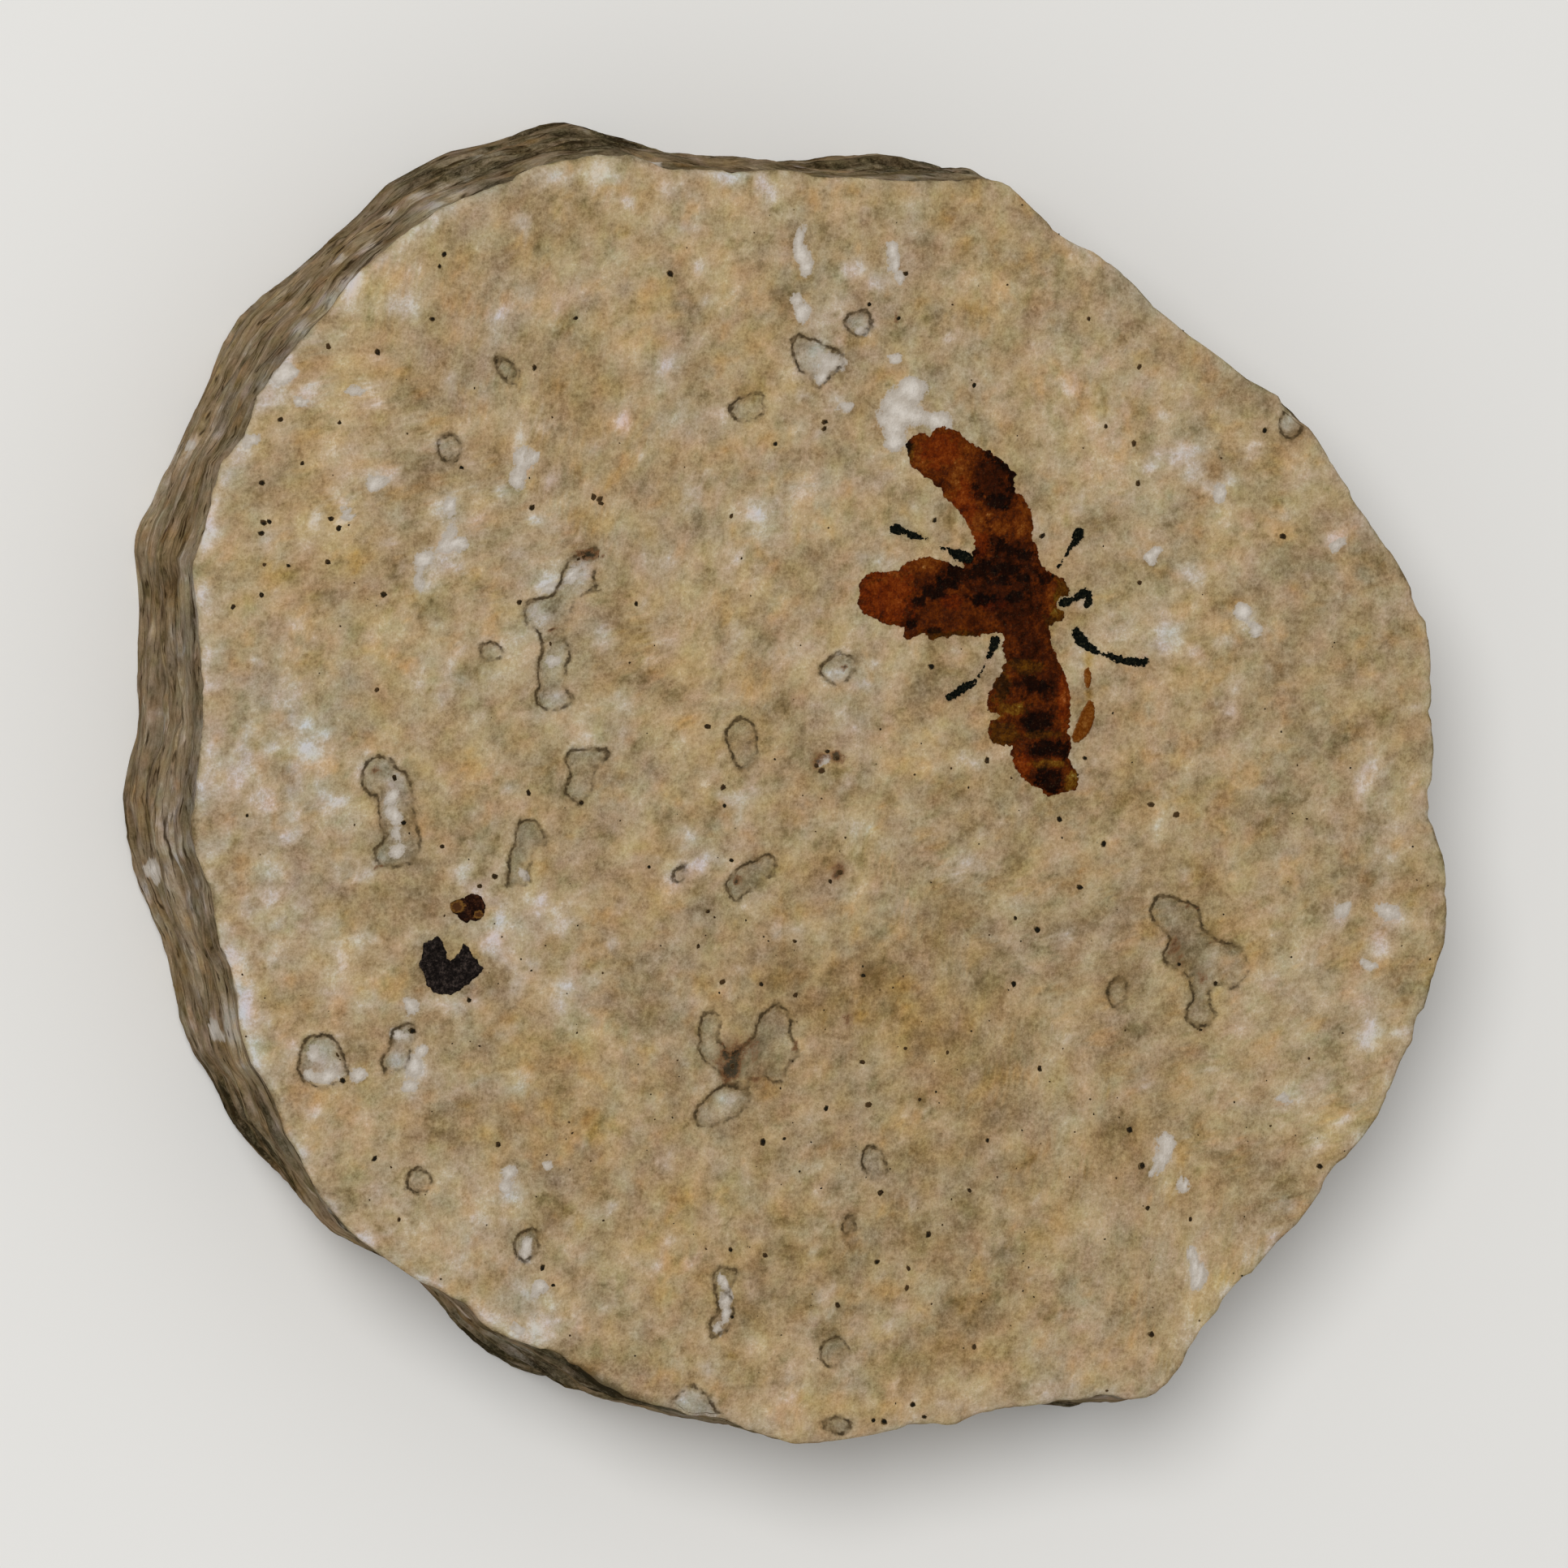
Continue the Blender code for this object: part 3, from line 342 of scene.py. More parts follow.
# How much each kind of mark changes the shale's tone, warmth and greenness
MARK_EFFECTS = {
    "brown": (-0.09, 0.2, 0.0),
    "clouded": (0.04, -0.45, 0.0),
    "ochre": (0.0, 0.7, 0.0),
    "greenish": (0.0, 0.0, 0.7),
    "shaded": (-0.12, 0.0, 0.0),
    "amber": (-0.16, 2.4, 0.0),
    "darker_wall": (-0.41, -0.9, 0.9),
    "pale wall": (0.14, 0.0, 0.0),
    "pale": (0.26, -1.2, -0.5),
    "brow": (-0.05, -0.4, 0.3),
    "flake": (-0.12, -1.1, 0.5),
    "right side": (0.02, 0.0, 0.0),
    "rim": (0.05, -0.4, 0.0),
    "rusty": (0.0, 0.9, -0.5),
    "smudged": (-0.12, 0.0, 0.9),
}
MIDDLE_TONE = 0.5
FLAKE_WISPS = 0.1
WARMTH_VARIES = 0.9
WARMTH_VARIES_RIGHT = 0.7

# Parts of the wall in pixels: pale ones, and darker olive ones
WALL_PALE = ((396, 372, 26, 18), (426, 344, 26, 18), (452, 300, 18, 14), (368, 400, 22, 16),
             (186, 1072, 8, 16), (258, 1274, 16, 14), (235, 545, 10, 10), (476, 262, 20, 10),
             (505, 240, 26, 8), (415, 318, 14, 10), (572, 1622, 30, 16), (606, 1646, 30, 14),
             (640, 1664, 26, 10))
WALL_DARK = ((700, 172, 130, 34), (590, 200, 60, 24), (1110, 202, 140, 20), (750, 1715, 120, 60),
             (620, 1672, 110, 80), (1335, 1732, 90, 30), (300, 1400, 60, 70), (560, 212, 80, 26),
             (640, 182, 80, 26), (770, 172, 70, 22))
WALL_REACH = 3.0

# Single specks of dark mineral, in pixels
SPECKS = (
    (405, 427), (466, 434), (346, 517), (373, 571), (323, 595), (325, 644), (333, 643), (323, 657),
    (326, 696), (356, 697), (323, 733), (288, 748), (548, 313), (542, 328), (710, 392), (826, 337),
    (533, 393), (659, 453), (569, 576), (657, 625), (740, 615), (902, 636), (784, 744), (465, 850),
    (305, 1005), (545, 1043), (610, 1080), (592, 1092), (652, 977), (872, 895), (891, 970), (893, 993),
    (902, 1060), (800, 1068), (873, 1123), (861, 1166), (890, 1210), (939, 1213), (981, 1226),
    (980, 1160), (941, 1407), (967, 1403), (492, 1503), (462, 1428), (578, 1232), (901, 1540),
    (943, 1547), (682, 1584), (1331, 1093), (1251, 1131), (1279, 1146), (1064, 1202), (1250, 1213),
    (1063, 1309), (1168, 1297), (1116, 1292), (1282, 1317), (1070, 1361), (1018, 1366), (1134, 1355),
    (1217, 1405), (1195, 1467), (1085, 1470), (1145, 1522), (1081, 1555), (1120, 1563), (1118, 1587),
    (1032, 1608), (1419, 1644), (1201, 1660), (1140, 1746), (1125, 1731), (1077, 1750), (1090, 1752),
    (1627, 1437), (1201, 475), (1405, 452), (1398, 547), (1363, 525), (1403, 596), (1342, 393),
    (1108, 392), (1117, 337), (1017, 520), (956, 547), (1285, 660), (1152, 641), (1148, 821),
    (1582, 661), (1405, 718), (1337, 934), (1217, 937), (1306, 1010), (1361, 1040), (1419, 992),
    (641, 742), (712, 687), (719, 684), (704, 957), (717, 989), (886, 1268), (903, 1314), (894, 1584),
    (903, 1623), (1016, 528), (1072, 375), (417, 1300), (422, 1307), (1461, 1114),
    (1480, 1269), (1498, 1212), (1453, 1188), (677, 793), (486, 958), (498, 1014), (423, 1332),
    (509, 1270), (732, 612), (741, 620), (404, 692), (473, 733), (408, 639), (418, 652), (419, 521),
    (614, 1410), (669, 1562), (1415, 1489), (1468, 1503), (1393, 1392), (1407, 1436), (1558, 531),
    (1450, 1003), (1006, 943), (1013, 950), (1032, 934), (1020, 926), (1024, 1086), (1035, 1075),
)
SPECK_SEED = 5
SPECK_SIDES = 7
SPECK_STRETCH = 0.16
SPECK_UNEVEN = (0.65, 1.2)
SPECK_RADII = (0.07, 0.12)
SPECK_HEIGHTS = (0.02, 0.05)

# The rings of a speck from its foot up: share of its radius, share of its height, a rise, and its core
SPECK_RINGS = ((1.0, 0.0, -0.03, 0.0), (0.95, 0.3, 0.0, 0.1), (0.55, 1.0, 0.0, 1.0))

# Small specks are scattered, and more than half of them crowd round one place, in pixels
SMALL_SPECK_COUNT = 260
SMALL_SPECK_RADII = (0.018, 0.045)
SMALL_SPECK_HEIGHTS = (0.01, 0.025)
CROWDED = 0.55
CROWD_ACROSS = (1080, 360)
CROWD_DOWN = (1350, 260)
ANYWHERE_ACROSS = (250, 1780)
ANYWHERE_DOWN = (190, 1760)
DEEPEST_SPECK = 0.2

# The fly's film: bright, dark, black, red, olive and pale parts as middles and half widths in pixels
FLY_BRIGHT = (
    (1162, 556, 48, 36), (1180, 596, 20, 44), (1200, 636, 20, 36), (1262, 636, 16, 32),
    (1092, 733, 38, 40), (1140, 697, 24, 12), (1311, 866, 10, 42), (1258, 944, 14, 20),
    (1232, 650, 13, 11), (1304, 742, 9, 16), (1320, 960, 12, 15), (1298, 746, 12, 20),
    (1242, 876, 22, 9), (1291, 941, 22, 5), (1272, 820, 20, 8),
)
FLY_DARK = (
    (1223, 591, 28, 35), (1246, 688, 34, 26), (1232, 714, 54, 38), (1178, 712, 26, 16), (1152, 729, 22, 13),
    (1131, 742, 14, 9), (1183, 686, 18, 14), (1124, 764, 8, 13), (1250, 752, 34, 26), (1270, 800, 24, 22),
    (1278, 842, 30, 20), (1276, 888, 28, 17), (1289, 925, 32, 16), (1293, 961, 19, 19), (1120, 550, 6, 12),
    (1232, 846, 12, 16),
)
FLY_BLACK = (
    (1207, 612, 9, 7), (1221, 618, 13, 9), (1236, 617, 10, 9), (1244, 607, 7, 8), (1248, 586, 6, 13),
    (1240, 573, 8, 7), (1229, 565, 10, 7), (1218, 561, 8, 5), (1200, 600, 7, 5), (1232, 673, 13, 8),
    (1226, 666, 6, 7), (1264, 684, 10, 8), (1246, 680, 7, 6), (1184, 706, 22, 11), (1167, 719, 16, 9),
    (1150, 730, 14, 8), (1133, 740, 11, 6), (1188, 684, 16, 12), (1214, 702, 16, 11), (1238, 702, 18, 9),
    (1230, 714, 20, 8), (1210, 738, 14, 8), (1260, 712, 9, 6), (1286, 711, 10, 9), (1248, 736, 12, 6),
    (1276, 888, 20, 11), (1292, 922, 26, 12), (1292, 962, 17, 16), (1124, 771, 8, 7), (1119, 550, 5, 9),
    (1278, 846, 17, 9), (1150, 777, 12, 5), (1266, 838, 8, 6), (1308, 924, 9, 10),
)
FLY_RED = ((1090, 736, 40, 36), (1172, 742, 18, 10), (1311, 862, 10, 44), (1258, 944, 14, 20),
           (1188, 622, 16, 30), (1160, 556, 26, 24), (1222, 744, 18, 8), (1206, 672, 12, 16))
FLY_OLIVE = ((1236, 905, 20, 16), (1320, 962, 12, 14), (1291, 941, 24, 6), (1286, 905, 26, 6),
             (1246, 874, 24, 9), (1165, 784, 46, 7), (1311, 728, 16, 20), (1302, 762, 16, 16),
             (1232, 842, 12, 28), (1262, 822, 22, 10), (1121, 556, 6, 14))
FLY_PALE = ((1319, 957, 8, 9), (1219, 636, 5, 8), (1205, 653, 5, 6), (1216, 647, 6, 4),
            (1230, 884, 8, 4), (1256, 867, 8, 4), (1309, 860, 5, 12), (1294, 936, 14, 4))
FLY_BULGES = ((1194, 687, 16, 11),)
FLY_SWELL = 0.14
FLY_TONE = 0.47
FLY_BRIGHTER = 0.14
FLY_DARKER = 0.15
FLY_BLACKER = 0.2
BROWN_SCRAP_RINGS = ((563, 1117, 10, 9), (590, 1127, 7, 6))

# Where the legs swell to blobs and where they are broken to crumbs, in pixels
LEG_BLOBS = ((1107, 652, 10, 8), (1126, 661, 8, 6), (1183, 686, 20, 11), (1329, 660, 10, 11),
             (1336, 733, 10, 8), (1342, 742, 6, 9), (1312, 744, 9, 7), (1332, 788, 11, 12),
             (1345, 800, 9, 8), (1388, 815, 18, 9), (1406, 820, 9, 7), (1228, 793, 8, 12),
             (1190, 846, 11, 8), (1172, 858, 8, 6))
LEG_GAPS = ((1148, 671, 18, 9), (1307, 692, 11, 18), (1213, 824, 13, 18), (1360, 806, 7, 5))
LEG_SWELL = 0.055
LEG_THIN = 0.05

# How the shale's red, green and blue change with its warmth and its greenness
WARM_TINT = (0.045, -0.025, -0.19)
GREEN_TINT = (-0.035, 0.02, -0.03)

# What the fly's red, green and blue are multiplied by in its red and its olive parts
RED_TINT = (1.12, 0.82, 0.75)
OLIVE_TINT = (0.9, 1.5, 1.25)

# The films' faint gloss, and how strong each finer layer of a material's noise is
FILM_SPECULAR = 0.02
FINER_LAYERS_SHARE = 0.9

# The face is paler and plainer on its right, from one of these places along X to the other
RIGHT_SIDE_FROM = 3.0
RIGHT_SIDE_TO = 13.0


def camera_axes():
    """The camera's right, up and backward directions."""
    back = Vector((math.sin(TILT) * math.cos(TOWARDS), math.sin(TILT) * math.sin(TOWARDS), math.cos(TILT)))
    right = Vector((0.0, 1.0, 0.0)).cross(back).normalized()
    return right, back.cross(right), back


RIGHT, UP, BACK = camera_axes()
EYE = AIM + BACK * (PIXEL * PHOTO_SIDE * LENS / SENSOR)


def photo_ray(u, v):
    """The direction in which the photograph's camera sees one pixel."""
    width = SENSOR / LENS / PHOTO_SIDE
    across = RIGHT * ((u - PHOTO_SIDE / 2) * width) + UP * ((PHOTO_SIDE / 2 - v) * width)
    return (across - BACK).normalized()


def on_plane(u, v):
    """Where the ray through a pixel meets the level plane of the slab's top."""
    ray = photo_ray(u, v)
    return EYE + ray * ((TOP - EYE.z) / ray.z)


def cad_tree(node):
    """A CAD node's surface, ready for rays."""
    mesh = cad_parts[node].data
    points = [vertex.co / MM for vertex in mesh.vertices]
    return BVHTree.FromPolygons(points, [tuple(polygon.vertices) for polygon in mesh.polygons])


SLAB_TREE = cad_tree("shale_slab")


def on_slab(u, v):
    """The point of the slab that one pixel shows."""
    hit = SLAB_TREE.ray_cast(EYE, photo_ray(u, v))[0]
    return hit if hit is not None else on_plane(u, v)


def lone_edges(rings):
    """The directed edges of some faces that no neighbour among them shares, in a fixed order."""
    edges = set()
    for ring in rings:
        for start, end in zip(ring, ring[1:] + ring[:1]):
            if (end, start) in edges:
                edges.remove((end, start))
            else:
                edges.add((start, end))
    return sorted(edges)


def outlines(node, wanted):
    """The closed outlines round those faces of a CAD node that wanted() picks, as rows of (x, y)."""
    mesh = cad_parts[node].data
    rings = []
    for polygon in mesh.polygons:
        if wanted(polygon):
            corners = [mesh.vertices[index].co[:2] for index in polygon.vertices]
            rings.append([tuple(round(value / MM, 4) for value in corner) for corner in corners])
    return chains(lone_edges(rings))


def chains(edges):
    """Directed edges put end to end in closed rings, in a fixed order."""
    after = dict(edges)
    rings = []
    while after:
        start = min(after)
        ring = [start]
        place = after.pop(start)
        while place != start:
            ring.append(place)
            place = after.pop(place)
        rings.append(np.array(ring))
    return rings


def edge_distance(points, outline):
    """How far each point lies outside an outline, negative inside, and the nearest place on it."""
    best = np.full(len(points), np.inf)
    nearest = np.zeros((len(points), 2))
    within = np.zeros(len(points), bool)
    for start, end in zip(outline, np.roll(outline, -1, axis=0)):
        edge = end - start
        share = np.clip((points - start) @ edge / (edge @ edge), 0.0, 1.0)
        place = start + share[:, None] * edge
        away = np.hypot(*(points - place).T)
        closer = away < best
        best[closer] = away[closer]
        nearest[closer] = place[closer]
        if edge[1] != 0.0:
            crosses = (start[1] > points[:, 1]) != (end[1] > points[:, 1])
            within ^= crosses & (points[:, 0] < start[0] + (points[:, 1] - start[1]) * edge[0] / edge[1])
    return np.where(within, -best, best), nearest


def fractal(points, wavelength, seed, octaves=3, fall=1.0):
    """Smooth noise at each point, about -1 to 1; each finer octave is weaker by 2 to the power of fall."""
    shift = Vector((seed, -seed, 0.5 * seed))
    scale = 1.0 / wavelength
    return np.array([noise.fractal(Vector(point) * scale + shift, fall, 2.0, octaves) for point in points])


def waver(points, name):
    """One of the named noises at each point."""
    strength, *rest = NOISES[name]
    return strength * fractal(points, *rest)


def flattened(points, height=0.0):
    """The points, all at one height."""
    return np.column_stack((points[:, 0], points[:, 1], np.full(len(points), height)))


def leaning(points):
    """The points turned and squeezed, so that noise read at them makes blotches with a lean."""
    turn = np.array(Matrix.Rotation(BLOTCH_LEAN, 3, "Z"))
    return points @ turn.T * np.array((BLOTCH_SQUEEZE, 1.0, 1.0))


def smooth(values, low, high):
    """A soft step from 0 at low to 1 at high."""
    share = np.clip((values - low) / (high - low), 0.0, 1.0)
    return share * share * (3.0 - 2.0 * share)


def pixel_spots(points, ovals, reach=OVAL_REACH, wider=0.0):
    """1 in the middle of the nearest oval, 0 on its edge and at least -1 outside, for ovals in pixels.

    reach is how far up and down an oval goes beyond its half height; wider is added to each half width.
    """
    field = np.full(len(points), -1.0)
    for u, v, wide, high in ovals:
        half = np.array(((wide + wider) * PIXEL, (high + wider) * PIXEL, reach + high * PIXEL))
        away = (points - np.array(on_slab(u, v))) / half
        field = np.maximum(field, 1.0 - np.sqrt((away * away).sum(axis=1)))
    return field


def shifted(points):
    """The points moved a little by noise, so that the ovals read at them become ragged patches."""
    return points + np.column_stack([waver(points, "patch along " + axis) for axis in "XYZ"])


def add_field(mesh, name, values):
    """A value for each point of a mesh, which the material reads."""
    field = mesh.attributes.new(name, "FLOAT", "POINT")
    field.data.foreach_set("value", np.asarray(values, np.float32))


def make_piece(name, points, faces, surfaces, fields=None, choice=None):
    """A smooth shaded mesh object from points in millimetres; choice picks each face's surface."""
    mesh = bpy.data.meshes.new(name)
    mesh.from_pydata((np.asarray(points) * MM).tolist(), [], faces)
    mesh.update()
    mesh.shade_smooth()
    for label, values in (fields or {}).items():
        add_field(mesh, label, values)
    for surface in surfaces:
        mesh.materials.append(surface)
    if choice is not None:
        mesh.polygons.foreach_set("material_index", choice)
    piece = bpy.data.objects.new(name, mesh)
    bpy.context.scene.collection.objects.link(piece)
    return piece


def face_height(points):
    """The height of the slab's face at each point: a bedding plane with a fine unevenness."""
    flat = flattened(points)
    return TOP + FACE_RELIEF * (waver(flat, "face") - 1.0) + waver(flat, "face grain")


def disc_grid(cells):
    """A square grid bent into a unit disc: direction and share of the radius for each point, and quads."""
    steps = np.linspace(-1.0, 1.0, cells + 1)
    across, along = np.meshgrid(steps, steps)
    across = across.ravel()
    along = along.ravel()
    share = np.maximum(np.abs(across), np.abs(along))
    sideways = np.abs(across) >= np.abs(along)
    long_side = np.where(sideways, across, along)
    safe = np.where(long_side == 0.0, 1.0, long_side)
    slant = np.where(sideways, along, across) / safe * math.pi / 4
    angle = np.where(sideways, slant, math.pi / 2 - slant)
    angle = np.where(long_side < 0.0, angle + math.pi, angle) % math.tau
    row = cells + 1
    quads = [(r * row + c, r * row + c + 1, (r + 1) * row + c + 1, (r + 1) * row + c)
             for r in range(cells) for c in range(cells)]
    return angle, share, quads


def wall_radius(angles, heights):
    """How far the CAD slab's wall lies from the middle in each direction at each height."""
    radii = []
    for angle, height in zip(angles, heights):
        out = Vector((math.cos(angle), math.sin(angle), 0.0))
        hit = SLAB_TREE.ray_cast(out * OUTSIDE + Vector((0.0, 0.0, height)), -out)[0]
        radii.append(math.hypot(hit.x, hit.y))
    return np.array(radii)


def lamina_tops():
    """Heights of the joints between the thin beds of the wall, thick and thin beds mixed."""
    draw = random.Random(LAMINA_SEED)
    parts = [LAMINA_THINNEST + draw.random() for _ in range(LAMINA_COUNT)]
    span = TOP - RIM_FALL - LAMINA_MARGIN - FOOT_RISE
    return FOOT_RISE + np.cumsum(parts)[:-1] / sum(parts) * span


def ring_points(angles, radii, heights):
    """Points round the slab's middle."""
    return np.column_stack((radii * np.cos(angles), radii * np.sin(angles), heights))


def level_ring(angles, height=0.0):
    """A plain round ring, along which noise is read."""
    return ring_points(angles, np.full(len(angles), RING_RADIUS), np.full(len(angles), height))


def ring_beds():
    """The number of the thin bed on which each ring of the wall lies, from the foot up."""
    middle = [bed for lower in range(LAMINA_COUNT - 1) for bed in (lower, lower + 1)]
    return [0, 0] + middle + [LAMINA_COUNT] * len(RIM_DROPS)


def bed_tones(rings):
    """How much lighter or darker each bed is along its length, for the points of the wall's rings."""
    return [waver(flattened(ring, bed * BED_APART), "bed tone") for ring, bed in zip(rings, ring_beds())]


def bed_depth(points, bed):
    """How far one thin bed is broken back, along its edge."""
    return LEDGE_DEPTH * smooth(waver(flattened(points, bed * BED_APART), "bed depth"), -0.45, 0.5)


def wall_ring(angles, heights, bed, fade=1.0, crumble=0.0):
    """One ring of the wall: the CAD wall's radius, its beds broken back unevenly, and a rough grain."""
    radii = wall_radius(angles, heights)
    points = ring_points(angles, radii, heights)
    rough = waver(points, "wall") + waver(points, "wall grain")
    radii = radii + fade * (rough - WALL_BIAS - bed_depth(points, bed)) - crumble
    return ring_points(angles, radii, heights)


def drifting(angles, height):
    """A bed's height all round the wall, which rises and falls a little."""
    return height + waver(level_ring(angles, height), "bed drift") * math.sin(math.pi * height / TOP)


def wall_rings(angles, crumble, edge_heights):
    """All rings of the wall, from the foot up to just under the face's edge."""
    foot = np.zeros(len(angles))
    rings = [ring_points(angles, wall_radius(angles, foot + OVER_FOOT), foot)]
    rings.append(wall_ring(angles, foot + 0.5 * FOOT_RISE, 0, FOOT_FADE))
    for bed, top in enumerate(lamina_tops()):
        fade = min(1.0, top / ROUGH_FROM)
        rings.append(wall_ring(angles, drifting(angles, top - LEDGE), bed, fade))
        rings.append(wall_ring(angles, drifting(angles, top + LEDGE), bed + 1, fade))
    for drop in RIM_DROPS:
        share = (1.0 - drop / RIM_FALL) ** 2
        rings.append(wall_ring(angles, edge_heights - drop, LAMINA_COUNT, 1.0 - share, share * crumble))
    return rings


def rim_crumble(angles):
    """Small bites out of the rim of the face."""
    return RIM_CRUMBLE * (0.25 + smooth(waver(level_ring(angles), "rim bites"), -0.1, 0.6))


def underside(ring):
    """Points and triangles that close the slab's underside within its lowest ring."""
    count = len(ring)
    outline = ring[:, :2]
    reach = np.abs(outline).max()
    steps = np.arange(-reach, reach, UNDERSIDE_SPACING)
    half = 0.5 * UNDERSIDE_SPACING
    grid = []
    for row, y in enumerate(steps):
        grid += [(x + half * (row % 2), y) for x in steps]
    grid = np.array(grid)
    away, _ = edge_distance(grid, outline[::4])
    inner = grid[away < -half]
    inner_points = flattened(inner)
    inner_points[:, 2] = UNDERSIDE_RELIEF * smooth(waver(inner_points, "underside"), 0.0, 0.6)
    flat = [Vector(point) for point in np.vstack((outline, inner)).tolist()]
    result = geometry.delaunay_2d_cdt(flat, [], [list(range(count))], 1, 1e-7)
    source = [min(ids) for ids in result[3]]
    triangles = [[source[index] for index in reversed(face)] for face in result[2]]
    return inner_points, triangles


def uneven(ring, amount=FLAKE_UNEVENNESS):
    """An outline with its edges divided and every point moved a little, as stone breaks."""
    points = []
    for start, end in zip(ring, np.roll(ring, -1, axis=0)):
        parts = max(1, round(math.dist(start, end) / FLAKE_STEP))
        points += [start + (end - start) * part / parts for part in range(parts)]
    ring = np.array(points)
    flat = flattened(ring)
    return ring + amount * np.column_stack([waver(flat, "flake along " + axis) for axis in "XY"])


def drawn_ring(pixels):
    """An outline drawn on the photograph, carried to the slab's top."""
    return np.array([on_plane(u, v)[:2] for u, v in pixels])


def flake_outlines():
    """The outlines of the lost flakes: the drawn ones, and the CAD slab's own pits where none is drawn."""
    def pit_floor(polygon):
        depth = TOP - polygon.center.z / MM
        return polygon.normal.z > LEVEL and PIT_DEPTHS[0] < depth < PIT_DEPTHS[1]

    drawn = [drawn_ring(flake) for flake in DRAWN_FLAKES]
    rings = [uneven(ring, DRAWN_UNEVENNESS) for ring in drawn]
    for ring in outlines("shale_slab", pit_floor):
        middle = ring.mean(axis=0)[None, :]
        if min(edge_distance(middle, other)[0][0] for other in drawn) > SAME_FLAKE:
            rings.append(uneven(ring))
    return rings


def shallow_outlines():
    """Outlines of the faint flakes that only the skin has."""
    turns = np.linspace(0.0, math.tau, OVAL_SIDES + 1)[:-1]
    rings = []
    for u, v, wide, high in SHALLOW_FLAKES:
        middle = on_plane(u, v)
        ring = np.column_stack((wide * PIXEL * np.cos(turns), high * PIXEL * np.sin(turns)))
        rings.append(uneven(ring + np.array(middle[:2])))
    rings.append(uneven(drawn_ring(RIM_FLAKE), DRAWN_UNEVENNESS))
    return rings


def facing(points, nearest, away):
    """1 where a flake's outline faces the upper left of the photograph, -1 where it faces away from it; the
    painted shadow along the flake's edge is strongest where it is 1.
    """
    out = (points[:, :2] - nearest) / np.where(np.abs(away) < 1e-6, 1.0, away)[:, None]
    side = np.array((UP - RIGHT)[:2])
    return out @ side / math.hypot(*side)


def flake_field(points, rings):
    """Distance outside the nearest flake's outline, and the nearest place on it, capped far away."""
    far = 1.0
    field = np.full(len(points), far)
    nearest = points[:, :2].copy()
    for ring in rings:
        low = ring.min(axis=0) - far
        high = ring.max(axis=0) + far
        near = np.flatnonzero(((points[:, :2] > low) & (points[:, :2] < high)).all(axis=1))
        away, place = edge_distance(points[near, :2], ring)
        closer = away < field[near]
        field[near[closer]] = away[closer]
        nearest[near[closer]] = place[closer]
    return field, nearest


def frost(points, below):
    """Patches of white frost along the rim, on the sides that have it.

    below is how far a point lies inside the face's edge, or, as a negative number, under it.
    """
    turn = np.degrees(np.arctan2(points[:, 1], points[:, 0])) % 360.0
    side = smooth(turn, *FROST_FROM) * (1.0 - smooth(turn, *FROST_TO))
    width = np.where(below > 0.0, FROST_WIDTH, FROST_HEIGHT)
    return side * np.clip(1.1 + waver(points, "frost") - np.abs(below) / width, 0.0, 1.8) - 1.0


def chalk_field(ragged, wisp):
    """Where hard white chalk lies, for points that are already shifted."""
    return pixel_spots(ragged, CHALK, wider=WHITE_WIDER) + CHALK_TEAR * wisp


def milk(points, clouded):
    """Faint whitish clouds, more of them on the left and in the clouded regions."""
    left = smooth(-points[:, 0], -6.0, 14.0)
    return waver(points, "milk") - 0.75 + 0.25 * left + 0.5 * clouded


def shale_marks(points, ragged, wisp, below, away):
    """How strongly each kind of mark shows at each point of the shale, from 0 to 1."""
    marks = {}
    for name, (ovals, tear, low, high) in REGIONS.items():
        place = ragged if tear else points
        marks[name] = smooth(pixel_spots(place, ovals) + tear * wisp, low, high)
    layered = waver(points * np.array(WALL_PATCH_STRETCH), "wall_patches")
    # Darker olive patches on parts of the wall
    dark_wall = smooth(pixel_spots(points, WALL_DARK, WALL_REACH) + 0.7 * layered, -0.5, 0.9)
    marks["darker_wall"] = dark_wall * (1.0 - smooth(below, -0.1, 0.2))
    pale_wall = pixel_spots(points, WALL_PALE) + 0.3 * layered
    marks["pale wall"] = smooth(pale_wall, -0.3, 0.4)
    white = np.maximum(pixel_spots(ragged, PALE, wider=WHITE_WIDER), pale_wall) + PATCH_TEAR * wisp
    white = np.maximum.reduce((white, milk(points, marks["clouded"]), frost(points, below)))
    marks["pale"] = smooth(white, -0.15, 0.8)
    marks["brow"] = smooth(below, -2.8, -0.6) * (below < 0.0)
    marks["rim"] = 1.0 - smooth(np.abs(below), 0.05, 0.3)
    marks["flake"] = smooth(-away, -0.02, 0.1)
    marks["right side"] = smooth(points[:, 0], RIGHT_SIDE_FROM, RIGHT_SIDE_TO)
    marks["rusty"] = smooth(waver(points, "rust"), 0.35, 0.7)
    marks["smudged"] = smooth(waver(points, "smudges"), 0.35, 0.75)
    return marks


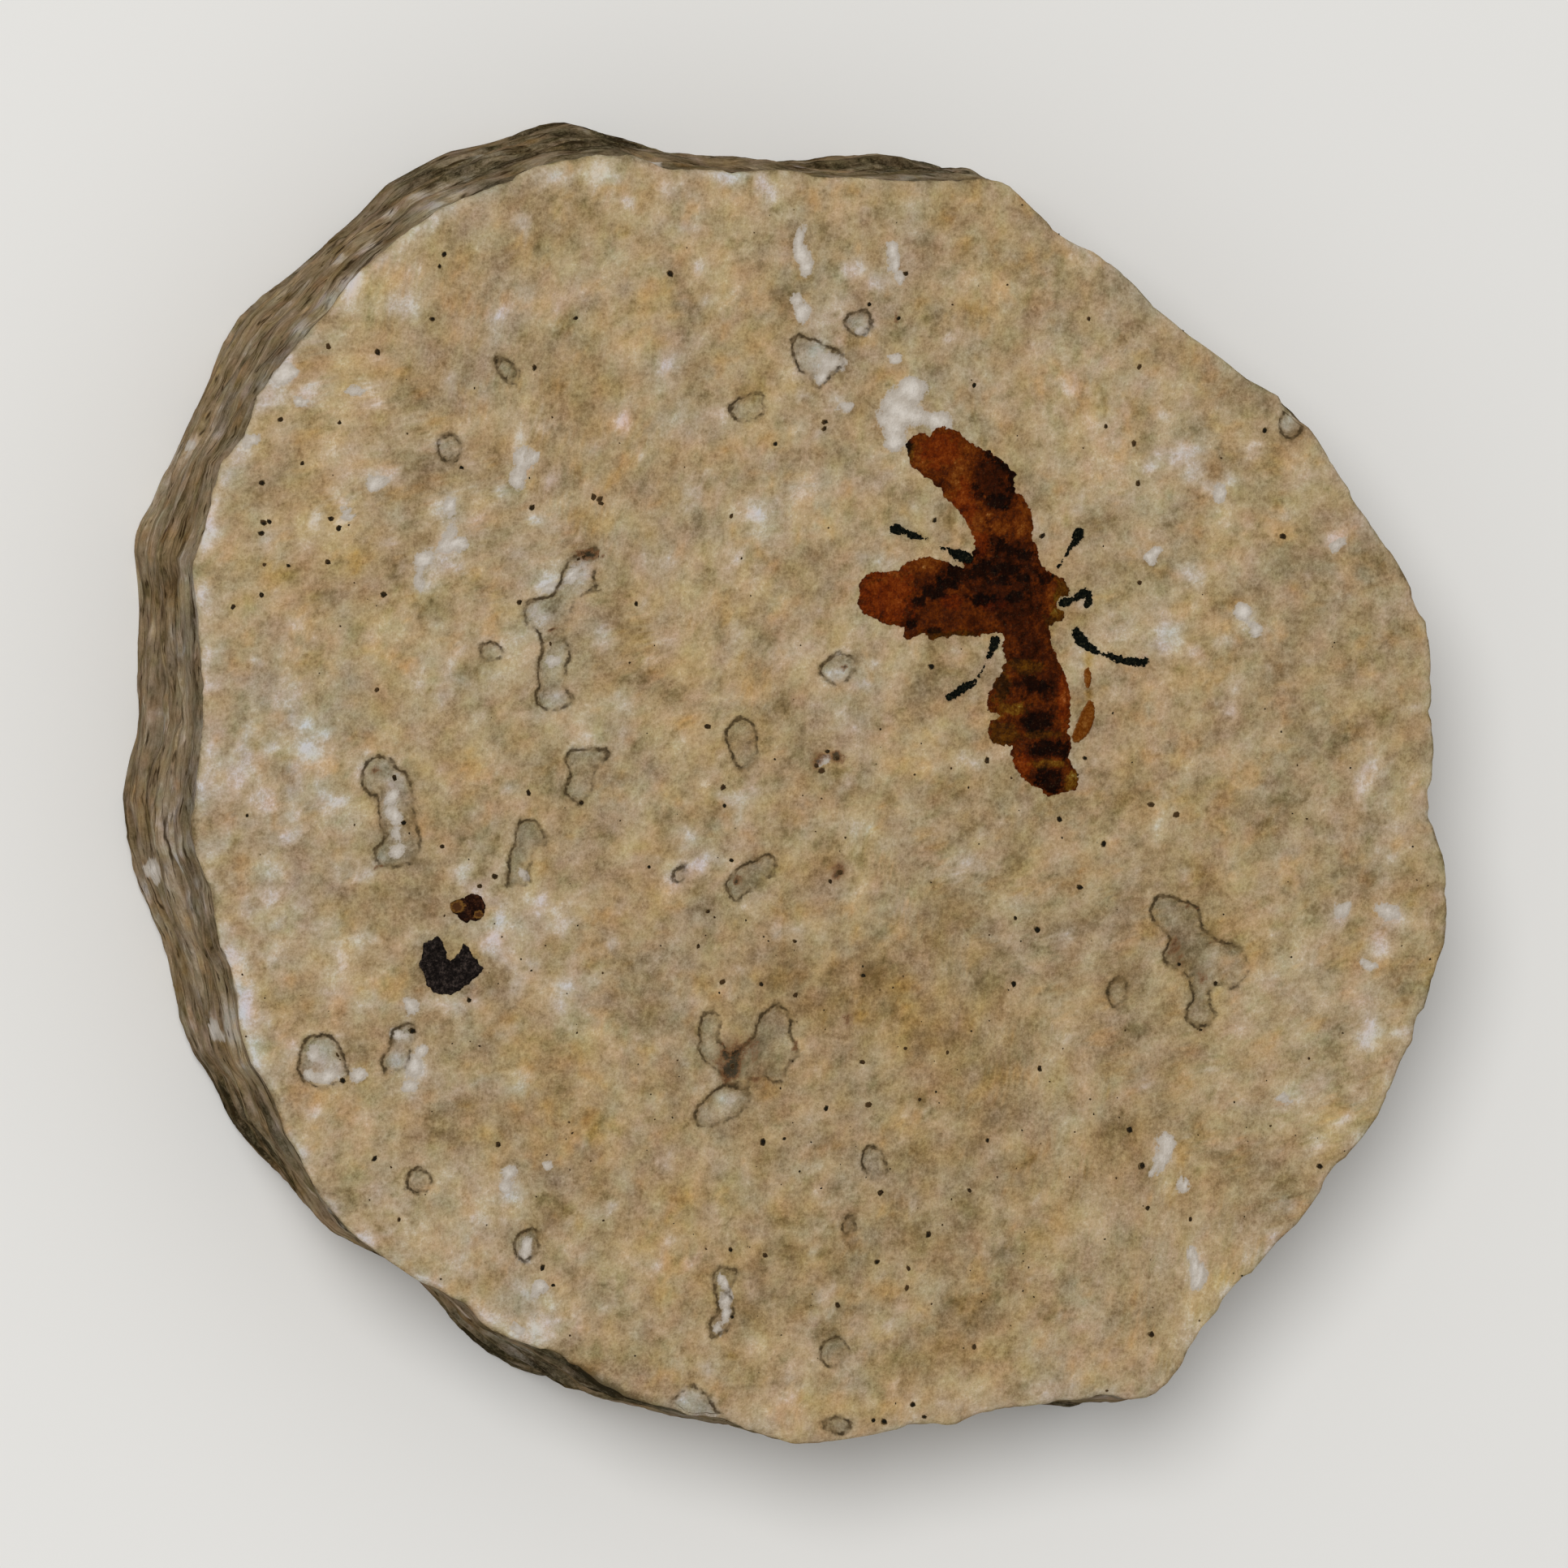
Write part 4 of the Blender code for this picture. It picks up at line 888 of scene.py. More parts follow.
def shale_fields(points, below, away):
    """What the shale's colours follow: tone, warmth, greenness and the marks that the photograph shows.

    below is how far a point lies inside the face's edge, or, as a negative number, under it; away is
    how far it lies outside the nearest flake.
    """
    slanted = leaning(points)
    ragged = shifted(points)
    wisp = waver(points, "wisps")
    marks = shale_marks(points, ragged, wisp, below, away)
    tone = MIDDLE_TONE + waver(slanted, "tone") - FLAKE_WISPS * marks["flake"] * wisp
    tone += np.where(below < 0.0, waver(points, "wall tone"), 0.0)
    varies = WARMTH_VARIES + (WARMTH_VARIES_RIGHT - WARMTH_VARIES) * marks["right side"]
    warm = waver(slanted, "broad warmth") + varies * waver(points, "warmth")
    green = waver(points, "greenness")
    for name, (lighter, warmer, greener) in MARK_EFFECTS.items():
        tone += lighter * marks[name]
        warm += warmer * marks[name]
        green += greener * marks[name]
    smear = SMEAR_STRENGTH * (pixel_spots(ragged, SMEARS) + PATCH_TEAR * wisp)
    stain = pixel_spots(ragged, STAINS) + PATCH_TEAR * wisp
    return {
        "tone": tone,
        "warm": warm,
        "green": green,
        "chalk": chalk_field(ragged, wisp),
        "edge": np.clip(away, -0.5, 0.5),
        "mark": np.maximum(smear, stain),
        "darker_wall": marks["darker_wall"],
    }


def shape_face(face, share, rim_distance):
    """Snaps the face's points to the outlines of the flakes, and gives each point its height.

    Returns how far each point lies outside the nearest flake, and how its outline faces there.
    """
    deep_rings = flake_outlines()
    deep, nearest = flake_field(face, deep_rings)
    shadow_side = facing(face, nearest, deep)
    snapped = (np.abs(deep) < FLAKE_SNAP) & (share < SNAP_WITHIN)
    face[snapped, :2] = nearest[snapped]
    deep, _ = flake_field(face, deep_rings)
    shallow, _ = flake_field(face, shallow_outlines())
    chalk = chalk_field(shifted(face), waver(face, "wisps"))
    lost = FLAKE_DEPTH * smooth(-deep, 0.0, FLAKE_RAMP) + SHALLOW_DEPTH * smooth(-shallow, 0.0, FLAKE_RAMP)
    face[:, 2] = face_height(face)
    face[:, 2] -= lost
    face[:, 2] += CHALK_RELIEF * smooth(chalk, 0.1, 0.5)
    face[:, 2] -= RIM_ROUNDING * smooth(-rim_distance, -RIM_ROUND_WIDTH, 0.0)
    return np.minimum(deep, shallow), shadow_side


def within_box(points):
    """The points, kept just inside the CAD model's box, and on its floor."""
    low = np.array(cad_box[0]) / MM + BOX_MARGIN
    high = np.array(cad_box[1]) / MM - BOX_MARGIN
    low[2] = 0.0
    return np.clip(points, low, high)


def bands(rings):
    """The faces between rings of point numbers that lie one under the other."""
    faces = []
    for upper, lower in zip(rings, rings[1:]):
        for this in range(len(upper)):
            after = (this + 1) % len(upper)
            faces.append((upper[this], lower[this], lower[after], upper[after]))
    return faces


def slab_skin(face_material, wall_material):
    """The slab of shale: a bumpy face with its lost flakes, a wall of thin broken beds, an underside."""
    angle, share, quads = disc_grid(FACE_CELLS)
    edge = np.flatnonzero(share > 1.0 - 1e-9)
    edge = edge[np.argsort(angle[edge])]
    edge_angles = angle[edge]
    count = len(edge)
    crumble = rim_crumble(edge_angles)
    rim = wall_radius(edge_angles, np.full(count, TOP - UNDER_RIM)) - crumble
    full_turn = np.append(edge_angles, edge_angles[0] + math.tau)
    radius = share * np.interp(angle, full_turn, np.append(rim, rim[0]))
    face = ring_points(angle, radius, np.full(len(angle), TOP))
    rim_distance = np.interp(angle, edge_angles, rim) * (1.0 - share)
    away, shadow_side = shape_face(face, share, rim_distance)

    rings = wall_rings(edge_angles, crumble, face[edge, 2])
    under, under_faces = underside(rings[0])
    points = within_box(np.vstack([face] + rings[::-1] + [under]))
    first = len(face)
    ring_ids = [edge.tolist()]
    ring_ids += [list(range(first + r * count, first + (r + 1) * count)) for r in range(len(rings))]
    base = ring_ids[-1] + list(range(first + len(rings) * count, len(points)))
    faces = quads + bands(ring_ids)
    faces += [[base[index] for index in triangle] for triangle in under_faces]
    choice = np.ones(len(faces), np.int32)
    choice[:len(quads) + RIM_FACE_RINGS * count] = 0
    choice[-len(under_faces):] = 0

    others = np.zeros(len(points) - first)
    below = np.concatenate((rim_distance + 1e-6, points[first:, 2] - TOP))
    fields = shale_fields(points, below, np.concatenate((away, others + 1.0)))
    fields["tone"][first:first + len(rings) * count] += np.concatenate(bed_tones(rings)[::-1])
    # How each flake's edge faces, which sets where its painted shadow is strongest
    fields["shadow_side"] = np.concatenate((shadow_side, others))
    piece = make_piece("slab_skin", points, faces, (face_material, wall_material), fields, choice)
    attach(piece, BODY)
    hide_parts("shale_slab")
    return piece


def film_outline(node):
    """The outline of a film's CAD node, seen from above."""
    def facing_down(polygon):
        return polygon.normal.z < -LEVEL

    return max(outlines(node, facing_down), key=len)


def march(values, columns, rows):
    """The parts of a grid's cells where a value is below zero (marching squares).

    Each part is a ring of corners: a grid point's number, or a pair of numbers for a crossed edge.
    """
    below = values < 0.0
    faces = []
    for row in range(rows - 1):
        for column in range(columns - 1):
            ring = (row * columns + column, row * columns + column + 1,
                    (row + 1) * columns + column + 1, (row + 1) * columns + column)
            inside = [below[index] for index in ring]
            if all(inside):
                faces.append(ring)
            elif any(inside):
                faces += cut_cell(ring, inside)
    return faces


def cut_cell(ring, inside):
    """The parts of one grid cell that lie inside, as rings of grid points and crossed edges."""
    opposite = (inside[0] == inside[2]) and (inside[1] == inside[3]) and (inside[0] != inside[1])
    if opposite:
        alone = [i for i in range(4) if inside[i]]
        return [((ring[i - 1], ring[i]), ring[i], (ring[i], ring[(i + 1) % 4])) for i in alone]
    part = []
    for i in range(4):
        after = (i + 1) % 4
        if inside[i]:
            part.append(ring[i])
        if inside[i] != inside[after]:
            part.append((ring[i], ring[after]))
    return [tuple(part)]


def film_mesh(node, cell, raggedness, wavelength, seed, shift=None):
    """The upper side of a ragged film over a node's outline: points, faces and distances to the edge.

    shift, if given, says how far the edge moves inwards at each place.
    """
    outline = film_outline(node)
    low = outline.min(axis=0) - RAGGED_REACH * cell
    high = outline.max(axis=0) + RAGGED_REACH * cell
    columns, rows = (np.ceil((high - low) / cell).astype(int) + 1).tolist()
    xs, ys = np.meshgrid(low[0] + cell * np.arange(columns), low[1] + cell * np.arange(rows))
    grid = np.column_stack((xs.ravel(), ys.ravel(), np.zeros(columns * rows)))
    away, _ = edge_distance(grid[:, :2], outline)
    near = np.abs(away) < RAGGED_REACH * raggedness + cell
    away[near] += raggedness * fractal(grid[near], wavelength, seed, 3, 0.4)
    if shift:
        away[near] += shift(flattened(grid[near], TOP))
    return close_film(grid, away, march(away, columns, rows))


def close_film(grid, away, faces):
    """Numbers the corners that the faces use, and gives the points of the upper side."""
    number = {}
    points = []
    depth = []

    def corner(key):
        if key in number:
            return number[key]
        if isinstance(key, tuple):
            a, b = key
            share = away[a] / (away[a] - away[b])
            points.append(grid[a] + (grid[b] - grid[a]) * share)
            depth.append(0.0)
        else:
            points.append(grid[key])
            depth.append(-away[key])
        number[key] = len(points) - 1
        return number[key]

    numbered = []
    for face in faces:
        numbered.append([corner(tuple(sorted(key)) if isinstance(key, tuple) else key) for key in face])
    return np.array(points), numbered, np.array(depth)


def film_piece(node, surface, mesh, thickness, fields):
    """A closed film that stands for its CAD node: an upper side, a wall and a side pressed in the rock."""
    points, faces, depth = mesh
    level = face_height(points)
    upper = points.copy()
    upper[:, 2] = level + thickness(points, depth)
    lower = points.copy()
    lower[:, 2] = level - FILM_SUNK
    count = len(points)
    closed = [list(face) for face in faces]
    closed += [[index + count for index in reversed(face)] for face in faces]
    closed += [[end, start, start + count, end + count] for start, end in lone_edges(faces)]
    place = flattened(points, TOP)
    both = {label: np.concatenate((values, values)) for label, values in fields(place, depth).items()}
    piece = make_piece(node + "_film", np.vstack((upper, lower)), closed, (surface,), both)
    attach(piece, BODY)
    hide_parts(node)
    return piece


def cad_rise(node, points):
    """How high a CAD film's top stands over the face at each point."""
    tree = cad_tree(node)
    heights = []
    for x, y, _ in points:
        hit = tree.ray_cast(Vector((x, y, TOP + ABOVE)), Vector((0.0, 0.0, -1.0)))[0]
        heights.append(hit.z - TOP if hit is not None else FILM_EDGE)
    return np.array(heights)


def march_fly_film(surface):
    """The fly: wings, thorax, head and abdomen pressed into one film."""
    def thickness(points, depth):
        full = FLY_RISE * cad_rise("march_fly", points)
        full += waver(points, "fly relief") + waver(points, "fly grain")
        return FILM_EDGE + (full - FILM_EDGE) * smooth(depth, 0.0, FLY_EDGE_WIDTH)

    def fields(place, depth):
        torn = waver(place, "fly tears")

        def part(ovals):
            return smooth(pixel_spots(place, ovals) + torn, 0.0, 0.2)

        tone = FLY_TONE + waver(place, "fly tone") + FLY_BRIGHTER * part(FLY_BRIGHT)
        tone += FLY_BRIGHTER * part(FLY_PALE) - FLY_DARKER * part(FLY_DARK) - FLY_BLACKER * part(FLY_BLACK)
        return {"tone": tone, "red": part(FLY_RED), "olive": part(FLY_OLIVE)}

    def shift(places):
        return -FLY_SWELL * smooth(pixel_spots(places, FLY_BULGES), -0.1, 0.4)

    mesh = film_mesh("march_fly", FLY_CELL, FLY_RAGGEDNESS, FLY_RAGGED_WAVE, FLY_SEED, shift)
    return film_piece("march_fly", surface, mesh, thickness, fields)


def low_film(node, surface, film, extra=None, shift=None):
    """A small film with a crumbly top of one height; film holds its cell, edge, seed and height."""
    cell, raggedness, wavelength, seed, height = film

    def thickness(points, depth):
        full = height + SMALL_RELIEF * height * fractal(points, SMALL_RELIEF_WAVE, seed + 2.0)
        return FILM_EDGE + (full - FILM_EDGE) * smooth(depth, 0.0, SMALL_EDGE_WIDTH)

    def fields(place, depth):
        made = {"depth": depth}
        if extra:
            made.update(extra(place))
        return made

    mesh = film_mesh(node, cell, raggedness, wavelength, seed, shift)
    return film_piece(node, surface, mesh, thickness, fields)


def leg_films(surface):
    """The five legs: blobs of carbon with stretches between them that are broken into crumbs."""
    def shift(places):
        blobs = smooth(pixel_spots(places, LEG_BLOBS), -0.2, 0.5)
        gaps = smooth(pixel_spots(places, LEG_GAPS), -0.1, 0.4)
        return LEG_THIN * gaps - LEG_SWELL * blobs

    for number, node in enumerate(("leg_upper_left", "leg_lower_left", "leg_upper_right",
                                   "leg_middle_right", "leg_lower_right")):
        cell, raggedness, wavelength, seed, height = LEG_FILM
        film = (cell, raggedness, wavelength, seed + LEG_SEED_STEP * number, height)
        low_film(node, surface, film, shift=shift)


def speck_shapes():
    """Middle, radius and height of each speck of dark mineral on the face."""
    draw = random.Random(SPECK_SEED)
    shapes = []
    for u, v in SPECKS:
        shapes.append((on_slab(u, v), draw.uniform(*SPECK_RADII), draw.uniform(*SPECK_HEIGHTS)))
    while len(shapes) < len(SPECKS) + SMALL_SPECK_COUNT:
        u = draw.gauss(*CROWD_ACROSS) if draw.random() < CROWDED else draw.uniform(*ANYWHERE_ACROSS)
        v = draw.gauss(*CROWD_DOWN) if draw.random() < CROWDED else draw.uniform(*ANYWHERE_DOWN)
        hit = SLAB_TREE.ray_cast(EYE, photo_ray(u, v))[0]
        if hit is None or hit.z < TOP - DEEPEST_SPECK:
            continue
        shapes.append((hit, draw.uniform(*SMALL_SPECK_RADII), draw.uniform(*SMALL_SPECK_HEIGHTS)))
    return shapes


def mineral_specks(surface):
    """Specks of dark mineral: low uneven crumbs on the face, joined in one mesh."""
    draw = random.Random(SPECK_SEED + 1)
    shapes = speck_shapes()
    levels = face_height(np.array([shape[0] for shape in shapes]))
    points = []
    faces = []
    cores = []
    for (middle, radius, height), level in zip(shapes, levels):
        if middle.z < TOP - PIT_DEPTHS[0]:
            level -= FLAKE_DEPTH
        first = len(points)
        turn = draw.random() * math.tau
        for share, high_share, rise, core in SPECK_RINGS:
            for side in range(SPECK_SIDES):
                angle = turn + math.tau * side / SPECK_SIDES
                stretch = 1.0 + SPECK_STRETCH * math.cos(2.0 * (angle - turn))
                out = radius * share * stretch * draw.uniform(*SPECK_UNEVEN)
                place = middle + Vector((math.cos(angle), math.sin(angle), 0.0)) * out
                points.append((place.x, place.y, level + high_share * height + rise))
                cores.append(core)
        for ring in range(2):
            for side in range(SPECK_SIDES):
                after = (side + 1) % SPECK_SIDES
                low = first + ring * SPECK_SIDES
                high = low + SPECK_SIDES
                faces.append((low + side, low + after, high + after, high + side))
        faces.append([first + side for side in reversed(range(SPECK_SIDES))])
        faces.append([first + 2 * SPECK_SIDES + side for side in range(SPECK_SIDES)])
    piece = make_piece("mineral_specks", points, faces, (surface,), {"core": cores})
    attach(piece, BODY)
    return piece


def srgb(red, green, blue):
    """A colour as the eye reads it from a picture, 0 to 255, in linear light."""
    def linear(value):
        value /= 255.0
        return value / 12.92 if value <= 0.04045 else ((value + 0.055) / 1.055) ** 2.4
    return (linear(red), linear(green), linear(blue), 1.0)


class Paint:
    """Short names for the nodes of one material, with noise measured in features per millimetre."""

    def __init__(self, name):
        self.material = bpy.data.materials.new(name)
        self.material.use_nodes = True
        self.nodes = self.material.node_tree.nodes
        self.links = self.material.node_tree.links
        self.shader = self.nodes["Principled BSDF"]
        place = self.nodes.new("ShaderNodeTexCoord")
        self.place = self.vector("MULTIPLY", place.outputs["Object"], (1.0 / MM,) * 3)

    def put(self, value, socket):
        """Links a socket's value, or sets a plain one."""
        if isinstance(value, bpy.types.NodeSocket):
            self.links.new(value, socket)
        else:
            socket.default_value = value

    def vector(self, operation, first, second):
        node = self.nodes.new("ShaderNodeVectorMath")
        node.operation = operation
        self.put(first, node.inputs[0])
        self.put(second, node.inputs["Scale" if operation == "SCALE" else 1])
        return node.outputs[0]

    def math(self, operation, first, second=0.0):
        node = self.nodes.new("ShaderNodeMath")
        node.operation = operation
        self.put(first, node.inputs[0])
        self.put(second, node.inputs[1])
        return node.outputs[0]

    def add(self, first, second):
        return self.math("ADD", first, second)

    def times(self, first, second):
        return self.math("MULTIPLY", first, second)

    def field(self, name):
        """A value kept on the mesh's points."""
        node = self.nodes.new("ShaderNodeAttribute")
        node.attribute_name = name
        return node.outputs["Fac"]

    def noise(self, per_mm, finer, seed, stretch=(1.0, 1.0, 1.0)):
        """Noise around 0, mostly within -0.5 to 0.5, with this many finer layers."""
        place = self.vector("MULTIPLY", self.place, stretch)
        place = self.vector("ADD", place, (seed, 0.7 * seed, -0.4 * seed))
        node = self.nodes.new("ShaderNodeTexNoise")
        self.put(place, node.inputs["Vector"])
        node.inputs["Scale"].default_value = per_mm
        node.inputs["Detail"].default_value = finer
        node.inputs["Roughness"].default_value = FINER_LAYERS_SHARE
        return self.math("SUBTRACT", node.outputs[0], 0.5)

    def step(self, value, low, high, top=1.0):
        """A soft step from 0 at low to top at high; low may be above high."""
        node = self.nodes.new("ShaderNodeMapRange")
        node.interpolation_type = "SMOOTHSTEP"
        node.inputs["From Min"].default_value = min(low, high)
        node.inputs["From Max"].default_value = max(low, high)
        node.inputs["To Min"].default_value = top if low > high else 0.0
        node.inputs["To Max"].default_value = 0.0 if low > high else top
        self.put(value, node.inputs["Value"])
        return node.outputs[0]

    def mix(self, share, first, second, blend="MIX"):
        node = self.nodes.new("ShaderNodeMix")
        node.data_type = "RGBA"
        node.blend_type = blend
        self.put(share, node.inputs[0])
        self.put(first, node.inputs[6])
        self.put(second, node.inputs[7])
        return node.outputs[2]

    def tint(self, share, colour, red_green_blue):
        """A colour multiplied, channel by channel, where share is high."""
        return self.mix(share, colour, (*red_green_blue, 1.0), "MULTIPLY")

    def ramp(self, value, stops):
        """A colour for each value: stops are (value, colour)."""
        node = self.nodes.new("ShaderNodeValToRGB")
        marks = node.color_ramp.elements
        for _ in stops[2:]:
            marks.new(0.5)
        for mark, (place, colour) in zip(marks, stops):
            mark.position = place
            mark.color = colour
        self.put(value, node.inputs[0])
        return node.outputs[0]

    def mottled(self, mottle, contrast, stops):
        """A ramp's colours, mixed by noise round its middle."""
        return self.ramp(self.add(0.5, self.times(mottle, contrast)), stops)

    def finish(self, colour, roughness, height, relief, specular):
        """Connects the surface; relief is the bump's height in millimetres."""
        self.put(colour, self.shader.inputs["Base Color"])
        self.put(roughness, self.shader.inputs["Roughness"])
        self.shader.inputs["Specular IOR Level"].default_value = specular
        if height is not None:
            bump = self.nodes.new("ShaderNodeBump")
            bump.inputs["Strength"].default_value = 1.0
            bump.inputs["Distance"].default_value = relief * MM
            self.put(height, bump.inputs["Height"])
            self.put(bump.outputs[0], self.shader.inputs["Normal"])
        return self.material


# Colours from dark to light, each with the tone at which it comes
SHALE_TONES = ((0.1, srgb(106, 86, 57)), (0.3, srgb(136, 114, 82)), (0.5, srgb(164, 142, 108)),
               (0.7, srgb(184, 163, 130)), (0.9, srgb(203, 188, 163)))
WALL_TONES = ((0.0, srgb(50, 40, 24)), (0.3, srgb(98, 82, 58)), (0.5, srgb(125, 107, 82)),
              (0.7, srgb(143, 125, 99)), (0.9, srgb(170, 153, 129)))
FLY_TONES = ((0.0, srgb(7, 3, 2)), (0.2, srgb(26, 8, 2)), (0.4, srgb(57, 21, 4)),
             (0.6, srgb(90, 39, 5)), (0.8, srgb(116, 63, 17)), (1.0, srgb(156, 112, 66)))
STAIN_TONES = ((0.4, srgb(112, 78, 50)), (0.75, srgb(38, 32, 22)))
AMBER_TONES = ((0.1, srgb(70, 28, 3)), (0.5, srgb(104, 54, 8)), (0.9, srgb(138, 92, 40)))
DARK_SCRAP_TONES = ((0.1, srgb(6, 4, 4)), (0.5, srgb(24, 19, 17)), (0.95, srgb(76, 65, 59)))
BROWN_SCRAP_TONES = ((0.1, srgb(10, 4, 3)), (0.5, srgb(32, 15, 8)), (0.9, srgb(74, 42, 24)))

# Pairs of colours, mixed by noise
CHALK_WHITES = (srgb(174, 164, 151), srgb(208, 201, 192))
# The browns of the painted shadow along the lost flakes' broken edges
EDGE_SHADOW_BROWNS = (srgb(70, 53, 30), srgb(48, 38, 24))
LEG_BLACKS = (srgb(6, 8, 6), srgb(20, 22, 14))
SPECK_BROWNS = (srgb(24, 21, 14), srgb(66, 48, 28))
FLOOR_GREYS = (srgb(226, 225, 222), srgb(232, 231, 228))

# Single colours
# A soft painted shade round the lost flakes' broken edges
FLAKE_SHADE_HALO = srgb(100, 83, 53)
WALL_CRACK = srgb(48, 35, 19)
# The grey of painted glints on the fly's film
FLY_GLINT_GREY = srgb(96, 80, 56)
LEG_CRUMB = srgb(70, 62, 44)
AMBER_EDGE = srgb(146, 108, 66)
RING_AMBER = srgb(118, 82, 36)
RING_MIDDLE = srgb(62, 34, 18)
SPECK_RIM = srgb(112, 92, 60)


def tinted(p, colour):
    """The shale's colour made ochre or grey, and green or pink, by its fields."""
    warmth = p.add(p.field("warm"), p.noise(2.4, 2.0, 53.0))
    warm = p.vector("SCALE", WARM_TINT, warmth)
    greenness = p.add(p.field("green"), p.times(p.noise(3.0, 2.0, 57.0), 1.2))
    green = p.vector("SCALE", GREEN_TINT, greenness)
    tint = p.vector("ADD", (1.0, 1.0, 1.0), p.vector("ADD", warm, green))
    return p.vector("MULTIPLY", colour, tint)


def chalked(p, colour, grain):
    """The shale's colour under its patches of hard white chalk."""
    field = p.add(p.field("chalk"), p.times(grain, 1.1))
    white = p.mix(p.step(field, 0.1, 1.0), *CHALK_WHITES)
    return p.mix(p.step(field, -0.05, 0.18, 0.95), colour, white)


def edge_shaded(p, colour, grain):
    """The shale's colour under painted shadow along the broken edges of its lost flakes: a thin dark line
    and a soft halo, broken here and there and strongest on the upper-left side of each edge.
    """
    crumbs = p.noise(3.4, 2.0, 41.0)
    broken = p.noise(1.7, 2.0, 47.0)
    edge = p.math("ABSOLUTE", p.add(p.field("edge"), p.times(crumbs, 0.24)))
    shadow_side = p.add(p.times(p.field("shadow_side"), 0.13), p.times(broken, 1.5))
    # Painted shade along each flake's edge: a soft halo and a thin dark line, strongest on its upper-left
    # side
    shade_halo = p.times(p.step(edge, 0.16, 0.03), p.step(shadow_side, -0.5, 0.3, 0.6))
    outline = p.times(p.step(edge, 0.07, 0.02), p.step(p.add(shadow_side, grain), -0.35, 0.2, 0.86))
    brown = p.mix(p.step(broken, -0.1, 0.2), *EDGE_SHADOW_BROWNS)
    return p.mix(outline, p.mix(shade_halo, colour, FLAKE_SHADE_HALO), brown)


def shale_surface():
    """Pale tan shale: mottled cream, ochre and olive, white mineral, dark-rimmed flakes and stains."""
    p = Paint("pale_shale")
    grain = p.noise(4.0, 3.0, 31.0)
    fine = p.noise(9.0, 1.0, 37.0, (1.0, 0.85, 1.0))
    tone = p.add(p.field("tone"), p.add(p.times(grain, 0.85), p.times(fine, 0.3)))
    colour = chalked(p, tinted(p, p.ramp(tone, SHALE_TONES)), grain)
    colour = edge_shaded(p, colour, grain)
    mark = p.add(p.field("mark"), p.times(grain, 1.6))
    colour = p.mix(p.step(mark, 0.0, 0.5, 0.88), colour, p.ramp(mark, STAIN_TONES))
    return p.finish(colour, p.add(0.86, p.times(grain, 0.2)), p.add(fine, grain), 0.036, 0.0)


def wall_surface():
    """The broken edge of the shale: thin beds of grey and brown, with long dark cracks."""
    p = Paint("broken_shale")
    beds = p.noise(1.0, 2.0, 81.0, (0.1, 0.1, 1.7))
    lines = p.noise(1.0, 3.0, 83.0, (0.45, 0.45, 4.6))
    gaps = p.noise(1.0, 2.0, 87.0, (0.25, 0.25, 2.2))
    grit = p.noise(3.6, 3.0, 91.0, (1.0, 1.0, 1.7))
    darker_wall = p.field("darker_wall")
    streaks = p.times(p.add(p.times(beds, 0.5), lines), p.add(1.0, p.times(darker_wall, -0.55)))
    speckle = p.times(grit, p.add(0.6, p.times(darker_wall, 0.9)))
    tone = p.add(p.add(p.field("tone"), 0.04), p.add(streaks, speckle))
    colour = tinted(p, p.ramp(tone, WALL_TONES))
    crack = p.step(p.math("ABSOLUTE", p.add(gaps, p.times(lines, 0.15))), 0.032, 0.006)
    crack = p.times(crack, p.step(lines, 0.04, -0.1, 0.88))
    colour = chalked(p, p.mix(crack, colour, WALL_CRACK), lines)
    height = p.add(p.add(lines, beds), p.times(grit, 0.6))
    return p.finish(colour, p.add(0.86, p.times(lines, 0.2)), height, 0.08, 0.0)


def fly_surface():
    """The fly's film: orange-brown with dark, red and olive parts, in a fine mottle, under a fine grey
    speckle of painted glints.
    """
    p = Paint("fly_film")
    mottle = p.noise(6.5, 3.0, 3.0, (1.0, 0.85, 1.0))
    glint_speckle = p.noise(15.0, 1.0, 7.0)
    tone = p.add(p.field("tone"), p.times(mottle, p.add(p.field("tone"), 0.4)))
    colour = p.tint(p.field("red"), p.ramp(tone, FLY_TONES), RED_TINT)
    colour = p.tint(p.field("olive"), colour, OLIVE_TINT)
    # Painted glints: a fine grey speckle over the fly's film
    colour = p.mix(p.step(glint_speckle, 0.08, 0.3, 0.18), colour, FLY_GLINT_GREY)
    return p.finish(colour, p.add(0.6, p.times(mottle, 0.25)), mottle, 0.025, FILM_SPECULAR)


def leg_surface():
    """Legs: black carbon, faintly green, with dull grey crumbs."""
    p = Paint("leg_carbon")
    crumbs = p.noise(13.0, 2.0, 5.0)
    colour = p.mix(p.step(crumbs, -0.05, 0.1), *LEG_BLACKS)
    colour = p.mix(p.step(crumbs, 0.1, 0.22, 0.6), colour, LEG_CRUMB)
    return p.finish(colour, p.add(0.6, p.times(crumbs, 0.3)), crumbs, 0.015, FILM_SPECULAR)


def amber_surface():
    """Scraps of amber-coloured cuticle, redder and darker in places."""
    p = Paint("amber_cuticle")
    mottle = p.noise(5.0, 3.0, 3.0)
    colour = p.mottled(mottle, 1.6, AMBER_TONES)
    colour = p.mix(p.step(p.field("depth"), 0.04, 0.0, 0.35), colour, AMBER_EDGE)
    return p.finish(colour, p.add(0.5, p.times(mottle, 0.2)), mottle, 0.015, FILM_SPECULAR)


def dark_scrap_surface():
    """Carbonised plant: near black with a purple cast and paler crumbs."""
    p = Paint("dark_carbon")
    mottle = p.noise(7.0, 3.0, 4.0)
    colour = p.mottled(mottle, 1.8, DARK_SCRAP_TONES)
    return p.finish(colour, p.add(0.55, p.times(mottle, 0.3)), mottle, 0.025, FILM_SPECULAR)


